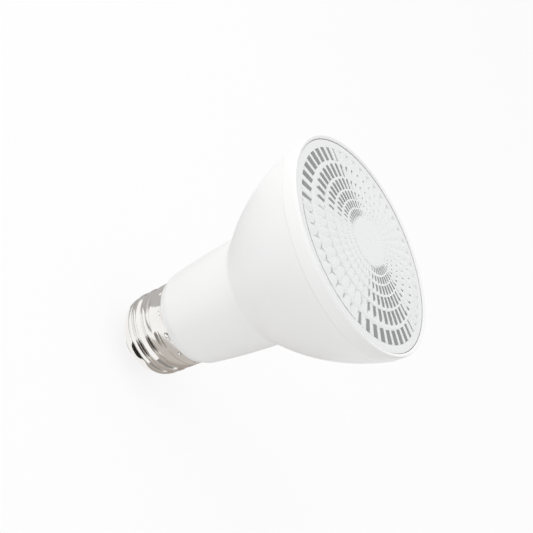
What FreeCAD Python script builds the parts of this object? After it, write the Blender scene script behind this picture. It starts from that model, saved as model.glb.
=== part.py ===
import FreeCAD, Part
import math
import os
import re
import Sketcher

# LED reflector bulb with an Edison screw base, standing on its contact tip.
# The bulb's axis is Z. The origin is the lowest point of the centre contact, and
# the front lens faces up. All sizes are millimetres and stand in one sheet.

# Driving dimensions: alias, value, meaning
SIZES = [
    ("cap_height", 22.9, "contact tip to the upper edge of the screw shell"),
    ("skirt_radius", 13.12, "plain skirt above the thread"),
    ("skirt_height", 3.2, "plain skirt below the shell's upper edge"),
    ("crest_step", 0.12, "thread crests in from the skirt"),
    ("thread_depth", 0.7, "depth of the screw thread"),
    ("thread_pitch", 3.629, "seven turns to the inch"),
    ("crest_land", 0.16, "flat left on a crest between two cuts"),
    ("thread_low", 7.7, "lower end of the shell's full width above the tip"),
    ("groove_lead", 3.436, "start of the groove's helix below the shell's full width"),
    ("groove_end", 1.827, "end of the groove's helix below the skirt"),
    ("lip_turn", 2.1, "rolled lower edge inwards from the shell's bore"),
    ("roll_height", 1.4, "height of the rolled lower edge"),
    ("roll_step", 0.3, "start of the rolled edge inside the thread's grooves"),
    ("roll_drop", 1.1, "start of the rolled edge below the full width"),
    ("shell_wall", 0.4, "sheet of the screw shell"),
    ("crimp_count", 12, "punch marks round the skirt"),
    ("crimp_size", 0.75, "radius of the crimping punch"),
    ("crimp_depth", 0.3, "depth of a punch mark"),
    ("crimp_drop", 0.9, "punch marks below the shell's upper edge"),
    ("crimp_turn", 4.0, "first punch mark, degrees from the X axis"),
    ("insulator_low", 1.4, "lower face of the insulator above the tip"),
    ("insulator_border", 0.8, "insulator's lower face round the contact"),
    ("insulator_flange", 1.6, "thickness of the flange held by the shell"),
    ("contact_radius", 4.8, "centre contact"),
    ("contact_dome", 0.3, "rise of the contact's edge over its middle"),
    ("contact_rim", 0.8, "thickness of the contact's plate"),
    ("contact_stem", 1.5, "radius of the hollow contact stem"),
    ("contact_stem_bore", 0.9, "bore of the contact stem"),
    ("contact_stem_height", 7.6, "contact stem above the tip"),
    ("fit_gap", 0.1, "clearance between fitted pieces"),
    ("bevel_height", 2.8, "bevel between shell and neck"),
    ("bevel_step", 0.18, "housing proud of the shell's skirt"),
    ("bevel_spread", 1.1, "growth of the radius over the bevel"),
    ("neck_flare", 2.16, "growth of the radius up the neck"),
    ("neck_height", 28.0, "shell's edge to the start of the cup"),
    ("neck_bow", 260.0, "radius of the neck's slight belly"),
    ("cup_height", 29.6, "start of the cup to the front ring"),
    ("ring_step", 0.15, "ring proud of the cup"),
    ("cup_bow", 60.0, "radius of the cup's belly"),
    ("junction_run", 0.5, "start of the hollow corner each side of the neck's end"),
    ("junction_round", 1.5, "hollow corner between neck and cup"),
    ("housing_wall", 2.0, "wall of the moulded housing"),
    ("spigot_wall", 1.5, "wall of the spigot inside the screw shell"),
    ("ledge_width", 3.2, "ledge that carries the heat sink"),
    ("ledge_height", 2.5, "height of that ledge"),
    ("ring_wall", 1.0, "wall of the ring's collar"),
    ("rim_wall", 1.7, "wall of the housing's rim inside the collar"),
    ("ring_radius", 31.75, "front ring"),
    ("ring_height", 4.5, "front ring, base to face"),
    ("ring_corner", 0.9, "rounded front edge of the ring"),
    ("ring_foot_round", 0.35, "rounded rear edge of the ring"),
    ("lip_cover", 0.15, "ring's lip over the lens"),
    ("lip_height", 0.9, "lens edge below the ring's face"),
    ("lip_round", 0.25, "rounded inner edge of the lip"),
    ("lens_play", 0.1, "lens inside the ring's collar"),
    ("lens_edge", 2.5, "lens thickness at its edge"),
    ("border_width", 2.2, "flat border of the lens"),
    ("lens_rise", 1.7, "rise of the dome over the border"),
    ("lens_disc_radius", 7.5, "smooth middle disc"),
    ("lens_disc_step", 0.12, "step of the middle disc"),
    ("rib_count", 48, "fields round the lens"),
    ("rib_width", 0.55, "width of a groove between fields"),
    ("rib_depth", 0.22, "depth of a groove between fields"),
    ("circle_count", 4, "circular grooves of the lens"),
    ("outer_row", 4.45, "outermost row of fields, in from the border"),
    ("row_ratio", 1.245, "each circular groove's radius to the next one inside it"),
    ("guide_gap", 2.45, "light guide inside the rim's opening"),
    ("foot_wall", 1.8, "wall of the light guide at its foot"),
    ("collimator_depth", 17.0, "height of the light guide"),
    ("collimator_bow", 45.0, "radius of the light guide's bellied flank"),
    ("cavity_gap", 0.8, "hollow over the emitter, round its base"),
    ("cavity_depth", 7.5, "depth of that hollow"),
    ("cavity_bulge", 1.6, "bulge of the hollow's roof towards the emitter"),
    ("board_gap", 2.858, "emitter board inside the heat sink's wall"),
    ("board_thickness", 1.6, "emitter board"),
    ("wire_hole", 1.0, "radius of the wire holes in board, pad and sink"),
    ("wire_inset", 0.7, "wires to the emitter board, in from the driver board's side"),
    ("pad_thickness", 0.4, "thermal pad"),
    ("sink_floor", 2.0, "floor of the heat sink"),
    ("sink_wall", 1.4, "wall of the heat sink"),
    ("sink_gap", 0.2, "heat sink to housing"),
    ("sink_top_drop", 1.5, "heat sink's edge below the ring's base"),
    ("emitter_radius", 6.4, "round emitter base"),
    ("emitter_height", 0.9, "emitter base"),
    ("emitter_border", 1.2, "emitter's base round its phosphor field"),
    ("emitter_dome_height", 0.5, "phosphor field over its base"),
    ("screw_count", 3, "board screws"),
    ("screw_inset", 3.0, "board screws in from the emitter board's edge"),
    ("screw_radius", 1.2, "shank of a board screw"),
    ("screw_head_radius", 2.3, "head of a board screw"),
    ("screw_head_height", 1.4, "height of a screw head"),
    ("screw_slot", 0.7, "slot across a screw head"),
    ("card_thickness", 1.2, "driver board"),
    ("card_grip", 0.55, "hold of the driver board's tongue in the spigot's grooves"),
    ("card_gap", 0.4, "driver board inside the neck, each side"),
    ("card_lift", 1.9, "lower edge of the driver board above the spigot's end"),
    ("shoulder_gap", 0.5, "start of the board's wider part above the bevel"),
    ("card_length", 40.6, "driver board along the axis"),
    ("wire_radius", 0.5, "insulated wires"),
    ("wire_bend", 0.8, "bend of the wires, to their middle"),
    ("wire_foot", 2.3, "wire lying along the emitter board"),
    ("neutral_place", 7.0, "return wire at the driver board from the axis"),
    ("input_can_radius", 4.0, "input capacitor"),
    ("input_can_length", 12.0, "input capacitor"),
    ("input_can_place", 5.2, "input capacitor from the board's middle"),
    ("output_can_radius", 3.15, "output capacitor"),
    ("output_can_length", 11.0, "output capacitor"),
    ("output_can_place", 5.4, "output capacitor from the board's middle"),
    ("can_level", 16.0, "foot of both capacitors above the board's lower edge"),
    ("can_bead", 0.25, "radius of the bead rolled into a can"),
    ("lead_radius", 0.3, "capacitor and resistor leads"),
    ("lead_reach", 0.9, "leads below a can before they turn to the board"),
    ("film_width", 8.0, "film capacitor"),
    ("film_depth", 4.6, "film capacitor off the board"),
    ("film_height", 9.0, "film capacitor along the axis"),
    ("film_place", 1.4, "film capacitor from the board's middle"),
    ("winding_gap", 0.95, "winding to the core's outer legs"),
    ("core_depth", 4.6, "transformer core"),
    ("core_height", 11.0, "transformer core along the axis"),
    ("core_yoke", 2.0, "yokes of the core"),
    ("core_leg", 3.2, "middle leg of the core"),
    ("core_side", 1.6, "outer legs of the core"),
    ("bobbin_wall", 0.45, "bobbin's tube and flanges"),
    ("bobbin_margin", 0.25, "bobbin flanges proud of the winding"),
    ("winding_depth", 1.3, "build of the winding on the bobbin"),
    ("transformer_level", 28.8, "foot of the transformer core above the board's lower edge"),
    ("choke_radius", 3.2, "flanges of the drum choke"),
    ("choke_waist", 1.4, "waist of the drum choke"),
    ("choke_margin", 0.2, "flanges of the drum choke proud of its winding"),
    ("choke_flange", 1.1, "flange thickness of the drum choke"),
    ("choke_length", 8.0, "drum choke along the axis"),
    ("choke_place", 5.6, "drum choke from the board's middle"),
    ("choke_level", 17.2, "foot of the drum choke above the board's lower edge"),
    ("chip_width", 4.9, "bridge rectifier and controller bodies"),
    ("chip_height", 3.9, "both bodies along the axis"),
    ("chip_depth", 1.5, "both bodies off the board"),
    ("chip_leg", 1.0, "legs beside a body"),
    ("chip_leg_width", 0.42, "one leg"),
    ("chip_leg_thickness", 0.25, "one leg"),
    ("chip_level", 31.2, "foot of both bodies above the board's lower edge"),
    ("rectifier_place", 3.4, "bridge rectifier from the board's middle"),
    ("controller_place", 3.6, "controller from the board's middle"),
    ("fuse_radius", 1.5, "fusible resistor"),
    ("fuse_length", 6.4, "fusible resistor along the axis"),
    ("fuse_place", 4.6, "fusible resistor from the board's middle"),
    ("fuse_level", 3.0, "foot of the fusible resistor above the board's lower edge"),
    ("varistor_radius", 3.6, "varistor disc"),
    ("varistor_thickness", 2.6, "varistor disc"),
    ("varistor_place", 3.7, "varistor from the board's middle"),
    ("varistor_level", 6.2, "middle of the varistor above the board's lower edge"),
    ("resistor_count", 5, "small resistors in a row"),
    ("resistor_length", 2.0, "one small resistor along the axis"),
    ("resistor_width", 1.25, "one small resistor"),
    ("resistor_height", 0.55, "one small resistor off the board"),
    ("resistor_pitch", 2.1, "small resistors apart"),
    ("resistor_level", 3.6, "foot of the small resistors above the board's lower edge"),
]

ALIASES = {row[0] for row in SIZES}

# Screw shell
CREST_RADIUS = "(skirt_radius - crest_step)"
ROOT_RADIUS = f"({CREST_RADIUS} - thread_depth)"
SKIRT_LOW = "(cap_height - skirt_height)"
SHELL_BORE = f"({ROOT_RADIUS} - shell_wall)"
LIP_RADIUS = f"({SHELL_BORE} - lip_turn)"
ROLL_RADIUS = f"({ROOT_RADIUS} - roll_step)"
ROLL_LEVEL = "(thread_low - roll_drop)"
LIP_LEVEL = f"({ROLL_LEVEL} - roll_height)"
ROLL_ARC = f"((({ROLL_RADIUS} - {LIP_RADIUS})^2 + roll_height^2) / (2 * roll_height))"
GROOVE_START = "(thread_low - groove_lead)"
THREAD_TURNS = f"(({SKIRT_LOW} - groove_end - {GROOVE_START}) / thread_pitch)"

# Radii of housing, ring and lens
BEVEL_LOW_RADIUS = "(skirt_radius + bevel_step)"
NECK_LOW_RADIUS = f"({BEVEL_LOW_RADIUS} + bevel_spread)"
NECK_TOP_RADIUS = f"({NECK_LOW_RADIUS} + neck_flare)"
CUP_TOP_RADIUS = "(ring_radius - ring_step)"
COLLAR_BORE = "(ring_radius - ring_wall)"
RIM_RADIUS = f"({COLLAR_BORE} - fit_gap)"
RIM_BORE = f"({RIM_RADIUS} - rim_wall)"
LENS_RADIUS = f"({COLLAR_BORE} - lens_play)"
LIP_RADIUS_FRONT = f"({LENS_RADIUS} - lip_cover)"
LENS_BORDER = f"({LENS_RADIUS} - border_width)"
CAVITY_RADIUS = "(emitter_radius + cavity_gap)"

# Levels above the contact tip
NECK_TOP = "(cap_height + neck_height)"
BEVEL_TOP = "(cap_height + bevel_height)"
CUP_TOP = f"({NECK_TOP} + cup_height)"
FRONT = f"({CUP_TOP} + ring_height)"
LENS_TOP = f"({FRONT} - lip_height)"
LENS_UNDER = f"({LENS_TOP} - lens_edge)"
LENS_FOOT = f"({LENS_UNDER} - collimator_depth)"
BOARD_TOP = f"({LENS_FOOT} - fit_gap)"
PAD_TOP = f"({BOARD_TOP} - board_thickness)"
SINK_TOP = f"({PAD_TOP} - pad_thickness)"
LEDGE = f"({SINK_TOP} - sink_floor)"
NEUTRAL_LEVEL = "(thread_low + insulator_flange + fit_gap + wire_radius)"
SPIGOT_LOW = f"({NEUTRAL_LEVEL} + wire_radius + fit_gap)"
CARD_LOW = f"({SPIGOT_LOW} + card_lift)"
CARD_SHOULDER = f"({BEVEL_TOP} + shoulder_gap)"
CARD_TOP = f"({CARD_LOW} + card_length)"
CAN_LEVEL = f"({CARD_LOW} + can_level)"
CHOKE_LEVEL = f"({CARD_LOW} + choke_level)"
CHIP_LEVEL = f"({CARD_LOW} + chip_level)"
FUSE_LEVEL = f"({CARD_LOW} + fuse_level)"

# Spigot and driver board
SPIGOT_RADIUS = f"({SHELL_BORE} - fit_gap)"
SPIGOT_BORE = f"({SPIGOT_RADIUS} - spigot_wall)"
CARD_TONGUE = f"({SPIGOT_BORE} + card_grip)"
CARD_HALF_WIDTH = f"({NECK_LOW_RADIUS} - housing_wall - card_gap)"
WIRE_PLACE = f"({CARD_HALF_WIDTH} - wire_inset)"

# Centre of the cup's profile arc, which is centre for every wall that follows the cup
CUP_SPREAD = f"({CUP_TOP_RADIUS} - {NECK_TOP_RADIUS})"
CUP_CHORD = f"sqrt({CUP_SPREAD}^2 + cup_height^2)"
CUP_REACH = f"sqrt(cup_bow^2 - ({CUP_SPREAD}^2 + cup_height^2) / 4)"
CUP_CENTRE_R = f"(({NECK_TOP_RADIUS} + {CUP_TOP_RADIUS}) / 2 - {CUP_REACH} * cup_height / {CUP_CHORD})"
CUP_CENTRE_Z = f"({NECK_TOP} + cup_height / 2 + {CUP_REACH} * {CUP_SPREAD} / {CUP_CHORD})"

# Centre of the lens dome, on the axis
DOME_RADIUS = f"(({LENS_BORDER}^2 + lens_rise^2) / (2 * lens_rise))"
DOME_CENTRE = f"({LENS_TOP} + lens_rise - {DOME_RADIUS})"

doc = FreeCAD.newDocument("led_reflector_bulb")
sheet = doc.addObject("Spreadsheet::Sheet", "Sizes")
nodes = []


def fill_sheet():
    """Write each driving dimension as a plain number with its alias and meaning."""
    for row, (alias, value, meaning) in enumerate(SIZES, start=1):
        sheet.set(f"A{row}", meaning)
        sheet.set(f"B{row}", str(value))
        sheet.setAlias(f"B{row}", alias)
    doc.recompute()


def linked(expression):
    """Return the expression with every alias pointing at the sheet."""

    def point_at_sheet(word):
        return f"Sizes.{word[0]}" if word[0] in ALIASES else word[0]

    return re.sub(r"[a-z][a-z_]*", point_at_sheet, expression)


def number(expression):
    """Return the present value of an expression in the sheet's sizes."""
    return float(sheet.evalExpression(linked(expression)))


def bind(item, **sizes):
    """Bind properties of an object to expressions; a double underscore stands for a dot."""
    for name, expression in sizes.items():
        item.setExpression(name.replace("__", "."), linked(expression))
    return item


def place(item, x="0", y="0", z="0"):
    """Bind the place of an object."""
    return bind(item, Placement__Base__x=x, Placement__Base__y=y, Placement__Base__z=z)


def node(item, name):
    """Name a finished sub-part and list it for export."""
    item.Label = name
    nodes.append(item)
    return item


def body(name):
    """Start the body of a sub-part."""
    return doc.addObject("PartDesign::Body", name)


def origin_part(holder, role):
    """Return a plane or axis of a body's own origin."""
    return next(item for item in holder.Origin.OriginFeatures if item.Role == role)


def arc_middle(start, end, radius, side):
    """Return the middle of an arc of a radius that bulges to the left (1) or right (-1)."""
    chord = end - start
    half = chord.Length / 2
    normal = FreeCAD.Vector(-chord.y, chord.x, 0).normalize() * side
    return (start + end) * 0.5 + normal * (radius - math.sqrt(radius**2 - half**2))


def outline(holder, name, loops, plane="XZ_Plane"):
    """Draw closed loops in a sketch on one of the body's planes and bind every corner.

    A corner is (across, up) where the edge that leads to it is straight, and
    (across, up, radius, side) where that edge is an arc.
    """
    sketch = holder.newObject("Sketcher::SketchObject", name)
    sketch.AttachmentSupport = [(origin_part(holder, plane), "")]
    sketch.MapMode = "FlatFace"
    for loop in loops:
        draw_loop(sketch, loop)
    return sketch


def draw_loop(sketch, corners):
    """Add one closed loop of lines and arcs to a sketch."""
    spots = [FreeCAD.Vector(number(corner[0]), number(corner[1]), 0) for corner in corners]
    first = sketch.GeometryCount
    ends = []
    edges = []
    for index, corner in enumerate(corners):
        start = spots[index - 1]
        end = spots[index]
        if len(corner) == 2:
            edges.append(Part.LineSegment(start, end))
            ends.append((1, 2))
            continue
        edges.append(Part.Arc(start, arc_middle(start, end, number(corner[2]), corner[3]), end))
        ends.append((2, 1) if corner[3] > 0 else (1, 2))
    sketch.addGeometry(edges, False)
    for index in range(len(corners)):
        following = (index + 1) % len(corners)
        sketch.addConstraint(
            Sketcher.Constraint(
                "Coincident", first + index, ends[index][1], first + following, ends[following][0]
            )
        )
    for index, corner in enumerate(corners):
        spot = (first + index, ends[index][1])
        fix(sketch, "DistanceX", -2, spot, corner[0], spots[index].x)
        fix(sketch, "DistanceY", -1, spot, corner[1], spots[index].y)
        if len(corner) > 2:
            rule = sketch.addConstraint(Sketcher.Constraint("Radius", first + index, number(corner[2])))
            sketch.setExpression(f"Constraints[{rule}]", linked(corner[2]))


def fix(sketch, kind, axis, spot, expression, value):
    """Bind one coordinate of a sketch point, or hold the point on the axis where it is nought."""
    if expression == "0":
        sketch.addConstraint(Sketcher.Constraint("PointOnObject", *spot, axis))
        return
    rule = sketch.addConstraint(Sketcher.Constraint(kind, -1, 1, *spot, value))
    sketch.setExpression(f"Constraints[{rule}]", linked(expression))


def turn(holder, name, loops):
    """Turn closed loops of (radius, height) round the axis of the bulb."""
    sketch = outline(holder, f"{name}_profile", loops)
    feature = holder.newObject("PartDesign::Revolution", name)
    feature.Profile = sketch
    feature.ReferenceAxis = (sketch, ["V_Axis"])
    feature.Angle = 360
    return feature


def groove(holder, name, loops):
    """Cut closed loops of (radius, height) round the axis of the bulb."""
    sketch = outline(holder, f"{name}_profile", loops)
    feature = holder.newObject("PartDesign::Groove", name)
    feature.Profile = sketch
    feature.ReferenceAxis = (sketch, ["V_Axis"])
    feature.Angle = 360
    return feature


def repeat_round(holder, original, name, count):
    """Repeat a feature evenly round the axis of the bulb."""
    pattern = holder.newObject("PartDesign::PolarPattern", name)
    pattern.Originals = [original]
    pattern.Axis = (origin_part(holder, "Z_Axis"), [""])
    pattern.Angle = 360
    bind(pattern, Occurrences=count)
    holder.Tip = pattern
    return pattern


def cup_radius(level, inset="0"):
    """Return the radius at a level of the wall that lies an inset inside the cup's outside."""
    return f"({CUP_CENTRE_R} + sqrt((cup_bow - {inset})^2 - ({level} - {CUP_CENTRE_Z})^2))"


def board_radius():
    """Return the radius of the emitter board, which lies in the heat sink's bowl."""
    return f"({cup_radius(SINK_TOP, '(housing_wall + sink_gap + sink_wall)')} - board_gap)"


def screw_place():
    """Return the distance of the board screws from the axis."""
    return f"({board_radius()} - screw_inset)"


def dome_level(radius):
    """Return the height of the lens dome at a radius."""
    return f"({DOME_CENTRE} + sqrt({DOME_RADIUS}^2 - ({radius})^2))"


def screw_shell():
    """Make the formed metal shell: rolled lip, rounded thread, plain skirt and punch marks."""
    shell = body("screw_shell_body")
    turn(
        shell,
        "shell_wall",
        [
            [
                (LIP_RADIUS, LIP_LEVEL),
                (ROLL_RADIUS, ROLL_LEVEL, ROLL_ARC, -1),
                (CREST_RADIUS, "thread_low"),
                (CREST_RADIUS, f"{SKIRT_LOW} - crest_step / 2"),
                ("skirt_radius", SKIRT_LOW),
                ("skirt_radius", "cap_height"),
                (SHELL_BORE, "cap_height"),
                (SHELL_BORE, "thread_low"),
                (f"{ROLL_RADIUS} - shell_wall", f"{ROLL_LEVEL} + shell_wall"),
                (LIP_RADIUS, f"{LIP_LEVEL} + shell_wall", ROLL_ARC, 1),
            ]
        ],
    )
    curve = f"(((thread_pitch / 4)^2 + (thread_depth / 2)^2) / thread_depth)"
    rise = f"({curve} - sqrt({curve}^2 - (thread_pitch / 8)^2))"
    half_width = "((thread_pitch - crest_land) / 2)"
    outside = f"({CREST_RADIUS} + thread_depth)"
    steps = [
        (outside, half_width),
        (CREST_RADIUS, half_width),
        (f"{ROOT_RADIUS} + thread_depth / 2", "thread_pitch / 4"),
        (f"{ROOT_RADIUS} + {rise}", "thread_pitch / 8"),
    ]
    lower = [(across, f"{GROOVE_START} - {up}") for across, up in steps]
    upper = [(across, f"{GROOVE_START} + {up}") for across, up in reversed(steps)]
    profile = outline(shell, "thread_profile", [[*lower, (ROOT_RADIUS, GROOVE_START), *upper]])
    thread = shell.newObject("PartDesign::SubtractiveHelix", "thread")
    thread.Profile = profile
    thread.ReferenceAxis = (profile, ["V_Axis"])
    thread.Mode = "pitch-turns-angle"
    thread.LeftHanded = False
    bind(thread, Pitch="thread_pitch", Turns=THREAD_TURNS)
    punch = shell.newObject("PartDesign::SubtractiveSphere", "crimp")
    bind(punch, Radius="crimp_size")
    reach = "(skirt_radius + crimp_size - crimp_depth)"
    turned = ("cos(crimp_turn * 1 deg)", "sin(crimp_turn * 1 deg)")
    place(punch, x=f"{reach} * {turned[0]}", y=f"{reach} * {turned[1]}", z="cap_height - crimp_drop")
    repeat_round(shell, punch, "crimps", "crimp_count")
    return node(shell, "screw_shell")


def base_insulator():
    """Make the insulator between shell and contact: outer cone, gripped flange, middle bore."""
    insulator = body("base_insulator_body")
    lip_top = f"({LIP_LEVEL} + shell_wall)"
    roll_radius = f"({ROLL_RADIUS} - shell_wall - fit_gap)"
    turn(
        insulator,
        "insulator_form",
        [
            [
                ("contact_stem + fit_gap", "insulator_low"),
                ("contact_radius + insulator_border", "insulator_low"),
                (f"{LIP_RADIUS} - fit_gap", LIP_LEVEL),
                (f"{LIP_RADIUS} - fit_gap", f"{lip_top} + fit_gap"),
                (roll_radius, f"{ROLL_LEVEL} + shell_wall + fit_gap", ROLL_ARC, -1),
                (SPIGOT_RADIUS, "thread_low + fit_gap"),
                (SPIGOT_RADIUS, "thread_low + insulator_flange"),
                ("contact_stem + fit_gap", "thread_low + insulator_flange"),
            ]
        ],
    )
    return node(insulator, "base_insulator")


def centre_contact():
    """Make the riveted contact: slightly domed plate and hollow stem."""
    contact = body("centre_contact_body")
    dish = "((contact_radius^2 / 4 + contact_dome^2) / (2 * contact_dome))"
    turn(
        contact,
        "contact_form",
        [
            [
                ("contact_stem_bore", "contact_rim"),
                ("0", "contact_rim"),
                ("0", "0"),
                ("contact_radius / 2", "0"),
                ("contact_radius", "contact_dome", dish, -1),
                ("contact_radius", "insulator_low"),
                ("contact_stem", "insulator_low"),
                ("contact_stem", "contact_stem_height"),
                ("contact_stem_bore", "contact_stem_height"),
            ]
        ],
    )
    return node(contact, "centre_contact")


def housing():
    """Make the one-piece moulded housing: spigot, bevel, neck, cup, ledge and rim."""
    shell = body("housing_body")
    inner_arc = "(cup_bow - housing_wall)"
    neck_slope = "(neck_flare / (neck_height - bevel_height))"
    corner_low = f"({NECK_TOP} - junction_run)"
    corner_high = f"({NECK_TOP} + junction_run)"
    ledge_bore = f"({cup_radius(LEDGE, 'housing_wall')} - ledge_width)"
    seat = f"({CUP_TOP} - 2 * housing_wall)"
    turn(
        shell,
        "housing_wall_form",
        [
            [
                (SPIGOT_BORE, SPIGOT_LOW),
                (SPIGOT_RADIUS, SPIGOT_LOW),
                (SPIGOT_RADIUS, "cap_height"),
                (BEVEL_LOW_RADIUS, "cap_height"),
                (NECK_LOW_RADIUS, BEVEL_TOP),
                (f"{NECK_TOP_RADIUS} - junction_run * {neck_slope}", corner_low, "neck_bow", -1),
                (cup_radius(corner_high), corner_high, "junction_round", 1),
                (CUP_TOP_RADIUS, CUP_TOP, "cup_bow", -1),
                (RIM_RADIUS, CUP_TOP),
                (RIM_RADIUS, LENS_UNDER),
                (RIM_BORE, LENS_UNDER),
                (RIM_BORE, f"{CUP_TOP} - housing_wall"),
                (cup_radius(seat, "housing_wall"), seat),
                (cup_radius(LEDGE, "housing_wall"), LEDGE, inner_arc, 1),
                (ledge_bore, LEDGE),
                (ledge_bore, f"{LEDGE} - ledge_height"),
                (f"{NECK_TOP_RADIUS} - housing_wall", NECK_TOP),
                (f"{NECK_LOW_RADIUS} - housing_wall", BEVEL_TOP),
                (SPIGOT_BORE, "cap_height"),
            ]
        ],
    )
    slot = shell.newObject("PartDesign::SubtractiveBox", "card_slot")
    bind(
        slot,
        Length=f"2 * ({CARD_TONGUE} + fit_gap)",
        Width="card_thickness + 2 * fit_gap",
        Height=f"{BEVEL_TOP} - {CARD_LOW}",
    )
    place(slot, x=f"-({CARD_TONGUE} + fit_gap)", y="-(card_thickness / 2 + fit_gap)", z=CARD_LOW)
    return node(shell, "housing")


def front_ring():
    """Make the bezel that holds the lens: collar, rounded face and inner lip."""
    ring = body("front_ring_body")
    turn(
        ring,
        "ring_form",
        [
            [
                (COLLAR_BORE, CUP_TOP),
                ("ring_radius - ring_foot_round", CUP_TOP),
                ("ring_radius", f"{CUP_TOP} + ring_foot_round", "ring_foot_round", -1),
                ("ring_radius", f"{FRONT} - ring_corner"),
                ("ring_radius - ring_corner", FRONT, "ring_corner", -1),
                (f"{LIP_RADIUS_FRONT} + lip_round", FRONT),
                (LIP_RADIUS_FRONT, f"{FRONT} - lip_round", "lip_round", -1),
                (LIP_RADIUS_FRONT, LENS_TOP),
                (COLLAR_BORE, LENS_TOP),
            ]
        ],
    )
    return node(ring, "front_ring")


def notch(radius):
    """Return the corners of one circular groove in the lens dome at a radius."""
    half = "(rib_width / 2)"
    return [
        (f"{radius} - {half}", f"{dome_level(radius)} + rib_depth / 2"),
        (radius, f"{dome_level(radius)} - rib_depth"),
        (f"{radius} + {half}", f"{dome_level(radius)} + rib_depth / 2"),
    ]


def lens():
    """Make the clear optic: domed plate, its fields, middle disc and the light guide below."""
    optic = body("lens_body")
    roof = f"(({CAVITY_RADIUS}^2 + cavity_bulge^2) / (2 * cavity_bulge))"
    turn(
        optic,
        "lens_form",
        [
            [
                ("0", f"{LENS_TOP} + lens_rise"),
                (LENS_BORDER, LENS_TOP, DOME_RADIUS, 1),
                (LENS_RADIUS, LENS_TOP),
                (LENS_RADIUS, LENS_UNDER),
                (f"{RIM_BORE} - guide_gap", LENS_UNDER),
                (f"{CAVITY_RADIUS} + foot_wall", LENS_FOOT, "collimator_bow", 1),
                (CAVITY_RADIUS, LENS_FOOT),
                (CAVITY_RADIUS, f"{LENS_FOOT} + cavity_depth"),
                ("0", f"{LENS_FOOT} + cavity_depth - cavity_bulge", roof, 1),
            ]
        ],
    )
    cut = optic.newObject("Sketcher::SketchObject", "field_groove_profile")
    cut.AttachmentSupport = [(origin_part(optic, "YZ_Plane"), "")]
    cut.MapMode = "FlatFace"
    cut.AttachmentOffset = FreeCAD.Placement(FreeCAD.Vector(), FreeCAD.Rotation(FreeCAD.Vector(1, 0, 0), 0))
    bind(
        cut,
        AttachmentOffset__Base__y=DOME_CENTRE,
        AttachmentOffset__Rotation__Angle=f"asin(lens_disc_radius / {DOME_RADIUS})",
    )
    draw_groove_section(cut)
    groove_feature = optic.newObject("PartDesign::Groove", "field_groove")
    groove_feature.Profile = cut
    groove_feature.ReferenceAxis = (cut, ["H_Axis"])
    outer_angle = f"asin(({LENS_BORDER} - rib_width) / {DOME_RADIUS})"
    inner_angle = f"asin(lens_disc_radius / {DOME_RADIUS})"
    bind(groove_feature, Angle=f"{outer_angle} - {inner_angle}")
    repeat_round(optic, groove_feature, "field_grooves", "rib_count")
    rows = range(int(number("circle_count")))
    circles = [f"(({LENS_BORDER} - outer_row) / row_ratio^{row})" for row in rows]
    groove(optic, "circle_grooves", [notch(radius) for radius in circles])
    turn(
        optic,
        "middle_disc",
        [
            [
                ("0", f"{LENS_TOP}"),
                ("lens_disc_radius + rib_width", f"{LENS_TOP}"),
                ("lens_disc_radius + rib_width", f"{dome_level('lens_disc_radius')} + lens_disc_step"),
                ("0", f"{LENS_TOP} + lens_rise + lens_disc_step"),
            ]
        ],
    )
    return node(optic, "lens")


def draw_groove_section(sketch):
    """Draw the triangle that is swept over the dome between two rows of fields."""
    half = number("rib_width") / 2
    high = number(f"{DOME_RADIUS} + rib_depth / 2")
    low = number(f"{DOME_RADIUS} - rib_depth")
    left = FreeCAD.Vector(-half, high, 0)
    bottom = FreeCAD.Vector(0, low, 0)
    right = FreeCAD.Vector(half, high, 0)
    corners = (left, bottom, right)
    edges = [Part.LineSegment(start, corners[(index + 1) % 3]) for index, start in enumerate(corners)]
    sketch.addGeometry(edges, False)
    for index in range(3):
        sketch.addConstraint(Sketcher.Constraint("Coincident", index, 2, (index + 1) % 3, 1))
    sketch.addConstraint(Sketcher.Constraint("PointOnObject", 0, 2, -2))
    sketch.addConstraint(Sketcher.Constraint("Symmetric", 0, 1, 1, 2, -2))
    rules = (
        ("DistanceY", -1, 1, 0, 2, low, f"{DOME_RADIUS} - rib_depth"),
        ("DistanceY", -1, 1, 0, 1, high, f"{DOME_RADIUS} + rib_depth / 2"),
        ("DistanceX", 0, 1, 1, 2, 2 * half, "rib_width"),
    )
    for *rule, expression in rules:
        index = sketch.addConstraint(Sketcher.Constraint(*rule))
        sketch.setExpression(f"Constraints[{index}]", linked(expression))


def drill(holder, name, radius, x, y, low, height):
    """Cut a round hole along the axis of the bulb."""
    hole = holder.newObject("PartDesign::SubtractiveCylinder", name)
    bind(hole, Radius=radius, Height=height)
    return place(hole, x=x, y=y, z=low)


def drill_for_wires(holder, low, height):
    """Cut the two wire holes, one each side of the axis."""
    drill(holder, "wire_hole_left", "wire_hole", f"-{WIRE_PLACE}", "0", low, height)
    drill(holder, "wire_hole_right", "wire_hole", WIRE_PLACE, "0", low, height)


def drill_for_screws(holder, name, radius, low, height):
    """Cut the ring of screw holes."""
    hole = drill(holder, f"{name}_first", radius, "0", screw_place(), low, height)
    repeat_round(holder, hole, name, "screw_count")


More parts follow.
